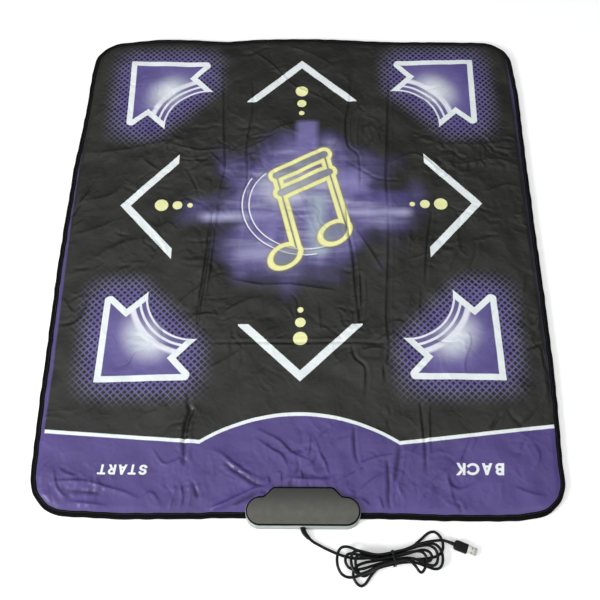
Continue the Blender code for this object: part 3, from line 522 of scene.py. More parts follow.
@dataclass
class SettledRim:
    """The rim of the laid mat: creases draw it in at the corners and let it out at the sides."""

    plan: Plan = PLAN
    reach: float = 56.0
    rounding: int = 9
    stray: np.ndarray = field(init=False, repr=False)

    def __post_init__(self) -> None:
        """Spread the measured directions evenly and round them off."""
        angles, found = np.array(RIM_STRAY, float).T
        even = np.interp(np.arange(-12.0, 372.0), angles, found, period=360)
        weights = np.hanning(self.rounding) / np.hanning(self.rounding).sum()
        self.stray = np.convolve(even, weights, "same")[12:-12]

    def settle(self, places: np.ndarray) -> np.ndarray:
        """Move places as the rim moves, less the further in they lie.

        Args:
            places: rows of coordinates in mm.

        Returns:
            The moved rows.
        """
        x, y = places[:, 0], places[:, 1]
        inside, way = self.plan.from_edge(x, y)
        angle = np.degrees(np.arctan2((y - self.plan.middle_y / MM) / self.plan.depth,
                                      x / self.plan.width)) % 360
        move = np.interp(angle, np.arange(360.0), self.stray, period=360)
        move = move * np.cos(math.pi / 2 * np.clip(inside / self.reach, 0, 1)) ** 2
        moved = places.astype(float)
        moved[:, :2] += way * move[:, None]
        return moved


RIM = SettledRim()


class Fold(Enum):
    """How the sheet lies along a fold line."""

    GROOVE = "groove"
    RIDGE = "ridge"


G, R = Fold.GROOVE, Fold.RIDGE

# Fold lines of the laid-out sheet in mm: kind, height, half width, then x and y of each point
FOLD_LINES = (
    (G, 0.9, 3.0, -152, 415, -146, 309, -140, 214, -138, 163, -143, 114, -146, 76),
    (R, 0.8, 4.0, -171, 201, -152, 180, -138, 163),
    (R, 0.9, 4.0, -241, 216, -190, 201, -139, 204, -112, 194),
    (R, 1.3, 11.0, -399, 193, -324, 201, -254, 219, -215, 227),
    (R, 0.9, 9.0, -390, 89, -337, 104, -317, 130),
    (G, 0.7, 3.0, -398, 69, -386, 102, -372, 138),
    (R, 0.7, 5.0, -293, 188, -280, 173, -249, 150),
    (G, 0.6, 3.0, -208, 163, -196, 141, -184, 114),
    (G, 0.8, 3.0, -93, 366, -91, 293, -99, 214, -97, 151, -98, 76),
    (G, 0.9, 3.0, 95, 356, 90, 310, 83, 267, 86, 215, 104, 189, 105, 115),
    (R, 0.6, 3.0, 109, 288, 101, 241, 103, 202),
    (G, 1.1, 3.2, 169, 391, 164, 321, 158, 215, 153, 150, 154, 75),
    (R, 0.7, 4.0, -111, 447, -59, 404, -16, 353, 40, 320, 79, 283),
    (R, 0.6, 4.0, -35, 456, 19, 430, 63, 396),
    (R, 0.7, 4.0, -117, 199, -66, 225, -49, 248, -15, 261, 40, 267),
    (G, 0.6, 3.5, 73, 187, 112, 157, 138, 140, 177, 137),
    (R, 0.8, 5.0, 163, 174, 206, 195, 241, 165, 264, 140),
    (R, 1.2, 10.0, 235, 213, 261, 215, 312, 215, 386, 221, 403, 209),
    (R, 0.9, 7.0, 304, 175, 340, 183, 371, 180, 395, 168),
    (R, 0.9, 7.0, 318, 113, 334, 116, 366, 128, 396, 121),
    (R, 0.8, 9.0, 347, 51, 375, 66, 398, 58),
    (G, 1.2, 3.4, -155, 83, -162, -43, -169, -129, -163, -160),
    (R, 0.8, 3.4, -148, 83, -155, -43, -161, -124),
    (R, 0.7, 4.0, -208, -113, -181, -87, -160, -70),
    (R, 0.8, 8.0, -393, 23, -364, 30, -332, 47, -316, 54),
    (R, 1.0, 12.0, -362, -35, -330, -6, -292, 10, -253, 17),
    (G, 1.0, 4.0, -400, -147, -376, -143, -361, -126, -350, -88),
    (R, 0.8, 4.0, -395, -99, -388, -109, -376, -128),
    (G, 0.8, 3.0, -406, 46, -396, 67, -387, 87),
    (R, 0.8, 4.0, -178, -131, -156, -128, -133, -129),
    (G, 1.2, 3.2, 78, 95, 81, 37, 90, -20, 94, -86, 98, -142),
    (G, 1.1, 3.4, 102, -51, 102, -101, 98, -141),
    (R, 0.7, 3.6, 91, 41, 117, -4, 141, -49),
    (G, 1.0, 3.2, 154, 72, 150, -33, 144, -128, 145, -189, 137, -228),
    (R, 1.1, 4.2, -117, -63, -68, -74, -20, -73, 29, -80, 58, -84),
    (G, 0.8, 3.2, -155, -179, -74, -178, -11, -178, 75, -177, 140, -178),
    (R, 0.8, 6.0, -132, -137, -114, -116, -86, -101, -62, -97),
    (G, 0.9, 3.2, 84, -179, 89, -203, 105, -219, 106, -245, 103, -272),
    (R, 0.8, 4.0, 99, -191, 121, -187, 138, -189),
    (G, 0.8, 3.0, 135, -215, 136, -245),
    (R, 0.6, 4.0, 29, -107, 32, -149, 38, -163),
    (G, 0.8, 3.0, 231, 75, 218, 3, 210, -72),
    (R, 0.6, 3.4, 200, -75, 194, -144),
    (R, 0.7, 7.0, 277, 14, 248, -46),
    (R, 0.9, 3.6, 274, -158, 276, -178, 264, -208, 263, -232),
    (G, 1.0, 3.6, 370, -188, 394, -176),
    (R, 1.2, 7.0, 381, -154, 393, -135, 397, -111),
    (R, 0.6, 5.0, 380, -52, 369, -95),
    (G, 0.8, 3.2, 394, -184, 397, -227),
    (G, 1.7, 4.4, -177, -263, -174, -286, -170, -294, -175, -313, -177, -339, -175, -383),
    (R, 1.0, 4.6, -227, -354, -206, -379, -181, -371, -170, -359),
    (R, 1.0, 4.4, -368, -386, -350, -396, -334, -397),
    (R, 1.3, 4.6, -377, -407, -352, -406, -319, -407, -290, -415, -262, -422, -238, -432),
    (G, 0.8, 3.6, -348, -421, -317, -422, -296, -424),
    (R, 1.2, 5.0, -346, -438, -315, -440, -286, -443),
    (R, 1.0, 4.2, -179, -410, -175, -429, -178, -445),
    (G, 1.0, 3.4, -162, -404, -155, -418, -150, -433),
    (R, 1.0, 4.4, -136, -450, -119, -440, -103, -435),
    (R, 1.2, 4.6, -374, -389, -367, -413, -358, -425, -347, -433),
    (R, 1.6, 7.0, -141, -355, -121, -363, -103, -378, -83, -392, -67, -405, -49, -413),
    (G, 1.4, 4.0, -118, -372, -101, -386, -80, -399, -63, -409, -42, -415),
    (R, 2.0, 7.0, -134, -451, -110, -438, -82, -424, -61, -415, -44, -412),
    (G, 1.2, 4.0, -109, -445, -81, -431, -61, -421, -47, -419),
    (R, 1.2, 4.4, -65, -340, -43, -356, -27, -366, -17, -386),
    (R, 1.3, 4.8, -67, -324, -35, -340, -16, -358, -4, -366, 12, -372, 31, -391),
    (R, 0.9, 4.0, 16, -332, 14, -358, 10, -369),
    (R, 1.0, 4.0, 24, -338, 31, -362, 39, -377, 45, -397),
    (R, 1.3, 4.4, 54, -408, 74, -397, 89, -387, 95, -377, 121, -367, 148, -363),
    (G, 0.9, 3.4, 85, -317, 85, -357, 91, -381),
    (R, 1.0, 4.0, 92, -431, 105, -440),
    (R, 1.0, 4.0, 119, -426, 125, -448),
    (G, 1.0, 3.6, 134, -366, 135, -404, 134, -431, 137, -449),
    (R, 1.1, 4.4, 88, -423, 103, -408, 120, -396, 128, -391),
    (R, 1.1, 4.0, -27, -404, -15, -400, 12, -402, 48, -402),
    (R, 0.9, 3.4, -48, -397, -45, -409),
    (R, 0.9, 3.4, -29, -389, -28, -407),
    (R, 0.9, 3.4, 1, -387, 6, -405),
    (G, 1.1, 3.2, 190, -275, 192, -312, 193, -337, 192, -388),
    (R, 0.8, 3.4, 203, -268, 200, -333, 199, -363),
    (G, 1.4, 4.4, 155, -349, 150, -377, 145, -404),
    (R, 1.0, 4.0, 156, -431, 148, -409, 154, -386),
    (R, 1.3, 4.4, 262, -334, 248, -362, 241, -374, 212, -398, 192, -415, 173, -442),
    (R, 0.8, 3.6, 273, -336, 260, -356),
    (R, 1.1, 5.0, 224, -398, 227, -410, 241, -415, 259, -409, 268, -396),
    (G, 0.9, 3.4, 238, -434, 241, -449),
    (R, 1.0, 4.0, 173, -448, 187, -447, 197, -442),
    (G, 1.0, 3.4, 296, -320, 314, -297),
    (G, 0.8, 3.2, 342, -314, 363, -295, 382, -276),
    (R, 1.0, 6.0, 322, -411, 349, -424, 371, -428),
    (R, 1.0, 8.0, 355, -338, 366, -364, 353, -387),
    (R, 1.0, 6.0, 231, -386, 224, -395, 228, -427, 231, -443),
    (R, 0.9, 5.0, -237, -434, -223, -422, -207, -438),
    (R, 0.9, 4.0, -194, -451, -190, -430, -185, -412),
    (R, 0.9, 4.0, -169, -449, -163, -429, -167, -412),
)


@dataclass
class SheetRelief:
    """The height of the printed sheet over the mat, and the painted shade along its folds, worked
    out on a 1 mm grid.
    """

    plan: Plan = PLAN
    rest: float = 8.7
    lowest: float = 6.75
    fold_scale: float = 1.95
    bound: float = 7.02
    floor_ease: float = 0.22
    last_blur: float = 0.7
    fan_count: int = 210
    fan_blades: tuple = (2, 5)
    fan_spread: float = 12.0
    fan_limits: tuple = ((-395, 395), (-445, 458))
    calm_share: float = 0.12
    small_reach: tuple = (9, 34)
    small_height: tuple = (0.30, 0.85)
    small_width: tuple = (1.8, 3.8)
    groove_share: float = 0.45
    crown_half: float = 96.0
    crown_ease: float = 5.0
    crown_height: float = 0.28
    clamp_half: float = 62.0
    pucker_height: float = 1.5
    pucker_reach: float = 22.0
    pleat_height: float = 0.75
    pleat_reach: float = 15.0
    pleat_wave: float = 3.3
    band_hold: float = 7.0
    band_ease: float = 11.0
    worked: tuple = ((-372, -415, 60), (-165, -412, 62), (10, -392, 75), (-190, 190, 80),
                     (-115, 150, 50), (300, 185, 95), (165, -150, 60), (-160, -150, 50),
                     (230, -405, 50), (380, -140, 50))
    seed: int = 11
    low_corner: tuple = (-414, -464)
    size: tuple = (829, 941)
    height: np.ndarray = field(init=False, repr=False)
    slope: tuple = field(init=False, repr=False)

    def __post_init__(self) -> None:
        """Build the height and its slopes."""
        nx, ny = self.size
        self.x, self.y = np.meshgrid(self.low_corner[0] + np.arange(nx, dtype=float),
                                     self.low_corner[1] + np.arange(ny, dtype=float))
        self.rng = np.random.default_rng(self.seed)
        self.crease_shade = np.zeros_like(self.x)
        self.height = self.shape()
        gy, gx = np.gradient(self.height)
        self.slope = (gx, gy)

    def shape(self) -> np.ndarray:
        """The height on the grid.

        Returns:
            Heights in mm.
        """
        folds = self.fold_field()
        height = self.rest + self.broad_waves() + folds + self.crumple(folds)
        height = height + self.pad_crown() + self.box_pucker()
        height = self.pin_to_band(height)
        over = (height - self.lowest) / self.floor_ease
        height = self.lowest + self.floor_ease * np.logaddexp(0.0, over)
        return self.soften(height, self.last_blur)

    def spectrum(self, shape: tuple) -> np.ndarray:
        """The frequency of each cell of a Fourier picture, in turns per mm.

        Args:
            shape: rows and columns of the picture.

        Returns:
            The frequencies.
        """
        fy = np.fft.fftfreq(shape[0])[:, None]
        fx = np.fft.rfftfreq(shape[1])[None, :]
        return np.hypot(fy, fx)

    def soften(self, picture: np.ndarray, sigma: float) -> np.ndarray:
        """Blur a picture of the mat by a distance in mm.

        Args:
            picture: values on the grid.
            sigma: the blur's spread, in mm.

        Returns:
            The blurred values.
        """
        pad = int(4 * sigma) + 2
        wide = np.pad(picture, pad, mode="edge")
        keep = np.exp(-2 * (math.pi * sigma * self.spectrum(wide.shape)) ** 2)
        soft = np.fft.irfft2(np.fft.rfft2(wide) * keep, s=wide.shape)
        return soft[pad:-pad, pad:-pad]

    def waves(self, shortest: float, longest: float) -> np.ndarray:
        """Even random waves between two lengths in mm, with a spread of 1.

        Args:
            shortest: length of the shortest wave, in mm.
            longest: length of the longest wave, in mm.

        Returns:
            The waves on the grid.
        """
        grain = self.rng.standard_normal(self.x.shape)
        f = self.spectrum(grain.shape)
        middle = math.sqrt(1 / shortest / longest)
        spread = math.log(longest / shortest) / 2
        with np.errstate(divide="ignore"):
            keep = np.exp(-((np.log(np.maximum(f, 1e-9) / middle)) / spread) ** 2)
        picture = np.fft.irfft2(np.fft.rfft2(grain) * keep, s=grain.shape)
        return picture / picture.std()

    def broad_waves(self) -> np.ndarray:
        """Slow rise and fall of a mat that was folded in its box."""
        return 0.50 * self.waves(120, 260) + 0.34 * self.waves(40, 80)

    def fold_field(self) -> np.ndarray:
        """The sum of all fold lines.

        Returns:
            The height that they add, in mm.
        """
        total = np.zeros_like(self.x)
        for kind, height, half_width, *route in FOLD_LINES:
            marks = [Vector((x, y, 0)) for x, y in zip(route[::2], route[1::2])]
            line = smooth_path(marks, 4.0)
            height *= self.fold_scale * min(1.0, 4.5 / half_width) ** 0.5
            total += self.one_fold(kind, height, 0.72 * half_width,
                                   np.array([p[:2] for p in line]))
        return total

    def small_folds(self, busy: np.ndarray) -> np.ndarray:
        """Short straight creases, in fans, most where the sheet is already creased.

        Args:
            busy: how creased the sheet is, from 0 to 1, on the grid.

        Returns:
            The height that they add.
        """
        total = np.zeros_like(self.x)
        fans = 0
        while fans < self.fan_count:
            x, y = (self.rng.uniform(*limits) for limits in self.fan_limits)
            here = np.array([[x, y]])
            if self.rng.uniform() > self.calm_share + self.sample(busy, here)[0]:
                continue
            fans += 1
            turn = self.rng.uniform(0, math.pi)
            for _ in range(self.rng.integers(*self.fan_blades)):
                a = turn + self.rng.normal(0, 0.45)
                reach = self.rng.uniform(*self.small_reach)
                middle = np.array([x, y]) + self.rng.normal(0, self.fan_spread, 2)
                way = np.array([math.cos(a), math.sin(a)])
                aside = np.array([-way[1], way[0]]) * reach
                bow, swing = self.rng.normal(0, 0.20), self.rng.normal(0, 0.07)
                line = [middle + way * reach * s + aside
                        * (bow * (1 - s * s) + swing * math.sin(5 * s))
                        for s in np.linspace(-1, 1, 13)]
                kind = G if self.rng.uniform() < self.groove_share else R
                total += self.one_fold(kind, self.rng.uniform(*self.small_height),
                                       self.rng.uniform(*self.small_width), np.array(line))
        return total

    def one_fold(self, kind: Fold, height: float, half_width: float,
                 line: np.ndarray) -> np.ndarray:
        """The relief of one fold line, and its line of painted shade.

        Args:
            kind: groove or ridge.
            height: how far the middle of the fold stands off the sheet, in mm.
            half_width: distance over which it falls away, in mm.
            line: the points of its route.

        Returns:
            The height that it adds on the grid.
        """
        reach = 4.5 * half_width
        lo = np.floor(line.min(axis=0) - reach - self.low_corner).astype(int)
        hi = np.ceil(line.max(axis=0) + reach - self.low_corner).astype(int)
        x0, y0 = np.clip(lo, 0, None)
        x1, y1 = min(hi[0], self.size[0]), min(hi[1], self.size[1])
        x, y = self.x[y0:y1, x0:x1], self.y[y0:y1, x0:x1]
        best = np.full(x.shape, 1e9)
        toward = np.zeros((2, *x.shape))
        side = np.zeros_like(best)
        along = np.zeros_like(best)
        count = len(line) - 1
        for k in range(count):
            a, b = line[k], line[k + 1]
            way = b - a
            t = ((x - a[0]) * way[0] + (y - a[1]) * way[1]) / (way @ way)
            t = np.clip(t, 0, 1)
            dx, dy = x - a[0] - t * way[0], y - a[1] - t * way[1]
            near = np.hypot(dx, dy)
            closer = near < best
            best = np.where(closer, near, best)
            side = np.where(closer, np.sign(way[0] * dy - way[1] * dx), side)
            toward = np.where(closer, np.stack([dx, dy]) / np.maximum(near, 1e-6), toward)
            along = np.where(closer, (k + t) / count, along)
        fade = np.sqrt(np.clip(np.sin(math.pi * np.clip(along, 0.004, 0.996)), 0, 1))
        # Painted shade: a sharp dark line in a groove's floor, and beside a ridge on its side away
        # from the side lamp
        if kind is Fold.GROOVE:
            mark = np.exp(-((best / 1.5) ** 2))
            shape = -np.exp(-(best / half_width) ** 1.05)
            shape += 0.36 * np.exp(-((best - 2.1 * half_width) / (1.2 * half_width)) ** 2)
        else:
            # The side away from the side lamp, where a ridge gets its painted shade
            lee = np.clip(0.85 * toward[0] + 0.5 * toward[1], 0, 1)
            mark = lee * np.exp(-(((best - 0.7 * half_width) / 1.4) ** 2))
            steep = np.where(side > 0, 0.6, 1.5) * half_width
            shape = np.exp(-(best / steep) ** 1.08)
        mark = mark * fade * min(1.0, height / 1.5)
        self.crease_shade[y0:y1, x0:x1] = np.maximum(self.crease_shade[y0:y1, x0:x1], mark)
        total = np.zeros_like(self.x)
        total[y0:y1, x0:x1] = height * fade * shape
        return total

    def crumple(self, folds: np.ndarray) -> np.ndarray:
        """Small ridges that net the sheet, closest where folds cross.

        Args:
            folds: the height of the fold lines, on the grid.

        Returns:
            The height that they add, in mm.
        """
        busy = np.clip(self.soften(np.abs(folds), 16.0) / 0.65, 0, 1)
        patches = np.clip(0.45 + 0.35 * self.waves(90, 160), 0.08, 1.0)
        busy = 0.25 * patches + 0.55 * busy
        for x, y, reach in self.worked:
            busy += 0.75 * np.exp(-(((self.x - x) ** 2 + (self.y - y) ** 2) / reach ** 2))
        busy = np.clip(busy, 0, 1)
        # Ridges run where waves of these lengths in mm cross zero; the last number blunts them
        coarse, middle, fine = (
            1 - np.sqrt(self.waves(low, high) ** 2 + blunt)
            for low, high, blunt in ((46, 84, 0.06), (22, 44, 0.06), (11, 22, 0.08)))
        net = 0.44 * coarse + 0.36 * busy * middle + 0.15 * busy * fine
        return busy * net + self.small_folds(busy)

    def pad_crown(self) -> np.ndarray:
        """A faint rise over each of the eight square step fields.

        Returns:
            The height that it adds, in mm.
        """
        px, py = self.plan.pitch[0] / MM, self.plan.pitch[1] / MM
        dx = np.abs(self.x) - px * (np.abs(self.x) > px / 2)
        y = self.y - self.plan.pattern_y / MM
        dy = np.abs(y) - py * (np.abs(y) > py / 2)
        off = np.maximum(np.abs(dx), np.abs(dy)) - self.crown_half
        rise = self.crown_height / (1 + np.exp(off / self.crown_ease))
        middle = (np.abs(self.x) < px / 2) & (np.abs(y) < py / 2)
        return np.where(middle, 0.0, rise)

    def box_pucker(self) -> np.ndarray:
        """The sheet rises and gathers where the box's hump clamps it.

        Returns:
            The height that it adds, in mm.
        """
        u = self.x - self.plan.box_x / MM
        v = self.y - self.plan.box_front / MM
        back = (self.plan.box_depth + self.plan.hump_depth) / MM
        away = np.hypot(np.maximum(np.abs(u) - self.clamp_half, 0), np.maximum(v - back, 0))
        sway = u + 0.35 * (v - back) * np.sin(u / 23) + 2.0 * np.sin(u / 9.0)
        pleats = self.pleat_height * (np.abs(np.sin(sway / self.pleat_wave)) ** 0.8 - 0.5)
        pleats *= np.exp(-((away / self.pleat_reach) ** 2)) * np.clip(1.3 - np.abs(u) / 60, 0, 1)
        return self.pucker_height * np.exp(-((away / self.pucker_reach) ** 2)) + pleats

    def pin_to_band(self, height: np.ndarray) -> np.ndarray:
        """Bring the sheet down flat where the sewn band holds it.

        Args:
            height: heights on the grid, in mm.

        Returns:
            The new heights.
        """
        inside, _ = self.plan.from_edge(self.x, self.y)
        t = np.clip((inside - self.band_hold) / self.band_ease, 0, 1)
        return self.bound + (height - self.bound) * t * t * (3 - 2 * t)

    def sample(self, picture: np.ndarray, places: np.ndarray) -> np.ndarray:
        """Read a picture of the mat at places given in mm.

        Args:
            picture: values on the grid.
            places: rows of places in mm.

        Returns:
            One value for each place.
        """
        fx = np.clip(places[:, 0] - self.low_corner[0], 0, self.size[0] - 1.001)
        fy = np.clip(places[:, 1] - self.low_corner[1], 0, self.size[1] - 1.001)
        ix, iy = fx.astype(int), fy.astype(int)
        tx, ty = fx - ix, fy - iy
        low = picture[iy, ix] * (1 - tx) + picture[iy, ix + 1] * tx
        high = picture[iy + 1, ix] * (1 - tx) + picture[iy + 1, ix + 1] * tx
        return low * (1 - ty) + high * ty

    def normals(self, places: np.ndarray) -> np.ndarray:
        """The sheet's upward normals at places given in mm.

        Args:
            places: rows of places in mm.

        Returns:
            Rows of unit normals.
        """
        sx, sy = (self.sample(s, places) for s in self.slope)
        normal = np.stack([-sx, -sy, np.ones_like(sx)], axis=1)
        return normal / np.linalg.norm(normal, axis=1)[:, None]

    def fold_shade_map(self) -> np.ndarray:
        """Painted shade along the folds, from 0 to 1: partly how deep each place lies in a fold,
        partly the folds' sharp dark lines.
        """
        deep = np.clip((self.soften(self.height, 7.0) - self.height) / 1.1, 0, 1)
        return np.clip(0.40 * deep + 0.80 * self.crease_shade, 0, 1)


class Field(Enum):
    """What a step field carries in print."""

    CORNER = "corner_arrow"
    SIDE = "side_chevron"
    END = "end_chevron"
    START = "start_word"
    BACK = "back_word"


@dataclass(frozen=True)
class StepField:
    """One step field: its name, its low and high corner in mm, and what it carries."""

    name: str
    low: tuple
    high: tuple
    kind: Field

    @property
    def ramp(self) -> float:
        """How far in from its edge the sheet takes to follow the field."""
        return 26.0 if self.high[1] - self.low[1] > 100 else 20.0


def step_fields() -> list[StepField]:
    """The ten step fields of the mat.

    Returns:
        The fields, in no order that matters.
    """
    fields = []
    half, pitch, middle_y = 102.5, (255.0, 252.0), 91
    places = {"up": (0, -1), "down": (0, 1), "right": (-1, 0), "left": (1, 0),
              "up_right": (-1, -1), "up_left": (1, -1), "down_right": (-1, 1),
              "down_left": (1, 1)}
    for name, (column, row) in places.items():
        x, y = column * pitch[0], middle_y + row * pitch[1]
        kind = Field.CORNER if column and row else (Field.SIDE if column else Field.END)
        fields.append(StepField(name, (x - half, y - half), (x + half, y + half), kind))
    fields.append(StepField("start", (-347.5, -417.0), (-197.5, -357.0), Field.START))
    fields.append(StepField("back", (197.5, -417.0), (347.5, -357.0), Field.BACK))
    return fields


@dataclass
class SheetCutter:
    """Cuts a laid sheet into closed pieces on one lattice, so that their edges meet."""

    relief: SheetRelief
    inset: float = 3.0
    thickness: float = 0.6
    plan: Plan = PLAN
    step: float = 2.05
    box_gap: float = 0.4
    box_reach: float = 110.0
    box_far: float = -395.0
    column_keys: tuple = (-410.0, -357.5, -347.5, -197.5, -152.5, -102.5, 102.5, 152.5, 197.5,
                          347.5, 357.5, 410.0)
    line_keys: tuple = (-459.0, -417.0, -357.0, -263.5, -58.5, -11.5, 193.5, 240.5, 445.5, 471.0)

    def __post_init__(self) -> None:
        """Lay the lattice and snap its rim to the cut edge."""
        xs, ys = self.ticks(self.column_keys), self.ticks(self.line_keys)
        self.columns, self.lines = xs, ys
        gx, gy = np.meshgrid(xs, ys)
        places = np.stack([gx.ravel(), gy.ravel()], axis=1)
        off = self.edge_distance(places)
        core = (off < -0.3 * self.step).reshape(gx.shape)
        self.kept = core[:-1, :-1] | core[:-1, 1:] | core[1:, 1:] | core[1:, :-1]
        rim = ~core.ravel() & (off < 3 * self.step)
        for _ in range(3):
            here = places[rim]
            gap = self.edge_distance(here)
            nudge = 0.05
            slope = np.stack([self.edge_distance(here + (nudge, 0)) - gap,
                              self.edge_distance(here + (0, nudge)) - gap], axis=1) / nudge
            size = np.maximum((slope ** 2).sum(axis=1), 0.25)[:, None]
            places[rim] = here - slope * gap[:, None] / size
        self.places = places
        # The painted shade along the folds, for the print to darken by
        self.deep = self.relief.fold_shade_map()

    def ticks(self, keys: tuple) -> np.ndarray:
        """Lattice lines through all keys, about one step apart."""
        found = [np.linspace(a, b, max(1, round((b - a) / self.step)) + 1)[:-1]
                 for a, b in zip(keys, keys[1:])]
        return np.concatenate(found + [[keys[-1]]])

    def edge_distance(self, places: np.ndarray) -> np.ndarray:
        """How far each place is outside the cut edge, negative inside it, in mm.

        Args:
            places: rows of places in mm.

        Returns:
            One distance for each place.
        """
        outer = self.inset - self.plan.from_edge(*places.T)[0]
        near = np.abs(places[:, 0] - self.plan.box_x / MM) < self.box_reach
        near &= places[:, 1] < self.box_far
        if near.any():
            outline = np.array(self.plan.box_outline(-self.box_gap * MM)) / MM
            outer[near] = np.maximum(outer[near], -self.outline_distance(places[near], outline))
        return outer

    def outline_distance(self, places: np.ndarray, outline: np.ndarray) -> np.ndarray:
        """Signed distance to a closed outline, negative inside.

        Args:
            places: rows of places in mm.
            outline: the outline's points in mm.

        Returns:
            One distance for each place.
        """
        best = np.full(len(places), 1e9)
        inside = np.zeros(len(places), bool)
        for a, b in zip(outline, np.roll(outline, -1, axis=0)):
            way = b - a
            t = np.clip(((places - a) @ way) / (way @ way), 0, 1)
            best = np.minimum(best, np.linalg.norm(places - a - t[:, None] * way, axis=1))
            crosses = (a[1] > places[:, 1]) != (b[1] > places[:, 1])
            with np.errstate(divide="ignore", invalid="ignore"):
                at = a[0] + (places[:, 1] - a[1]) * way[0] / way[1]
            inside ^= crosses & (places[:, 0] < at)
        return np.where(inside, -best, best)

    def cells_between(self, low: tuple, high: tuple) -> np.ndarray:
        """The kept cells whose middle lies in a rectangle, as a mask.

        Args:
            low: the low corner, in mm.
            high: the high corner, in mm.

        Returns:
            The mask.
        """
        mx = (self.columns[1:] + self.columns[:-1]) / 2
        my = (self.lines[1:] + self.lines[:-1]) / 2
        across = (mx > low[0]) & (mx < high[0])
        along = (my > low[1]) & (my < high[1])
        return self.kept & (along[:, None] & across[None, :])

    def corners(self, cells: np.ndarray) -> np.ndarray:
        """The four lattice numbers of each cell of a mask, counterclockwise.

        Args:
            cells: the mask.

        Returns:
            Rows of four numbers.
        """
        iy, ix = np.nonzero(cells)
        row = len(self.columns)
        first = iy * row + ix
        return np.stack([first, first + 1, first + row + 1, first + row], axis=1)

    def wedges(self, pad: StepField) -> list[np.ndarray]:
        """The triangles of a field, sorted by its nearest edge: near, right, far, left.

        Args:
            pad: the step field.

        Returns:
            Rows of lattice numbers for each of the four.
        """
        quads = self.corners(self.cells_between(pad.low, pad.high))
        middle = (np.array(pad.low) + np.array(pad.high)) / 2
        off = self.places[quads].mean(axis=1) - middle
        main = (off[:, 0] * off[:, 1] > 0)[:, None]
        first = np.where(main, quads[:, [0, 1, 2]], quads[:, [0, 1, 3]])
        second = np.where(main, quads[:, [0, 2, 3]], quads[:, [1, 2, 3]])
        triangles = np.concatenate([first, second])
        centre = self.places[triangles].mean(axis=1)
        gaps = np.stack([centre[:, 1] - pad.low[1], pad.high[0] - centre[:, 0],
                         pad.high[1] - centre[:, 1], centre[:, 0] - pad.low[0]], axis=1)
        nearest = gaps.argmin(axis=1)
        return [triangles[nearest == k] for k in range(4)]

    def cut(self, name: str, faces: np.ndarray, material: bpy.types.Material
            ) -> tuple[bpy.types.Object, float]:
        """Make one closed piece of the sheet.

        Args:
            name: the piece's name.
            faces: rows of lattice numbers, counterclockwise from above.
            material: its finish.

        Returns:
            The piece and the flat area of its cut in square metres.
        """
        used, rows = np.unique(faces, return_inverse=True)
        rows = rows.reshape(faces.shape)
        flat = self.places[used]
        high = self.relief.sample(self.relief.height, flat)
        count = len(used)
        laid = RIM.settle(flat)
        top = np.column_stack([laid, high]) * MM
        under = top - (0, 0, self.thickness * MM)
        starts = rows.ravel()
        ends = np.roll(rows, -1, axis=1).ravel()
        paired = set(zip(ends.tolist(), starts.tolist()))
        rim = [(a, b) for a, b in zip(starts.tolist(), ends.tolist()) if (a, b) not in paired]
        walls = [(a, a + count, b + count, b) for a, b in rim]
        below = rows[:, ::-1] + count
        mesh = bpy.data.meshes.new(name)
        all_faces = rows.tolist() + below.tolist() + walls
        mesh.from_pydata(np.concatenate([top, under]).tolist(), [], all_faces)
        mesh.shade_smooth()
        up = self.relief.normals(flat)
        wall_normals = []
        for a, b in rim:
            way = laid[b] - laid[a]
            out = np.array([way[1], -way[0], 0.0]) / np.hypot(*way)
            wall_normals += [out] * 4
        loops = np.concatenate([up[rows.ravel()], -up[rows[:, ::-1].ravel()],
                                np.array(wall_normals).reshape(-1, 3)])
        mesh.normals_split_custom_set(loops.tolist())
        # Painted shade along the folds, by which the print's finish darkens its colour
        depth = mesh.attributes.new("painted_fold_shade", "FLOAT", "POINT")
        deep = self.relief.sample(self.deep, flat)
        depth.data.foreach_set("value", np.concatenate([deep, 0 * deep]).astype(np.float32))
        self.lay_out(mesh, flat, rows, rim)
        mesh.materials.append(material)
        corner = laid[rows]
        x, y = corner[:, :, 0], corner[:, :, 1]
        area = 0.5 * np.abs((x * np.roll(y, -1, 1) - y * np.roll(x, -1, 1)).sum(1)).sum()
        return put(name, mesh), float(area) * MM * MM

    def lay_out(self, mesh: bpy.types.Mesh, flat: np.ndarray, rows: np.ndarray,
                rim: list) -> None:
        """Give a piece a map with its top spread flat and its hidden sides in a strip.

        Args:
            mesh: the piece's mesh.
            flat: the places of its vertices before they are laid, in mm.
            rows: the faces of its top.
            rim: the edges round its top.
        """
        low, high = flat.min(axis=0), flat.max(axis=0)
        even = (flat - low) / (high - low)
        u = 0.002 + 0.996 * even[:, 0]
        above = np.column_stack([u, 0.002 + 0.928 * even[:, 1]])
        below = np.column_stack([u, 0.950 + 0.022 * even[:, 1]])
        places = [above[rows.ravel()], below[rows[:, ::-1].ravel()]]
        if rim:
            a, b = np.array(rim).T
            wall = np.stack([np.column_stack([u[k], np.full(len(k), level)]) for k, level in
                             ((a, 0.996), (a, 0.980), (b, 0.980), (b, 0.996))], axis=1)
            places.append(wall.reshape(-1, 2))
        layer = mesh.uv_layers.new(name="OFBake")
        layer.data.foreach_set("uv", np.concatenate(places).ravel().astype(np.float32))


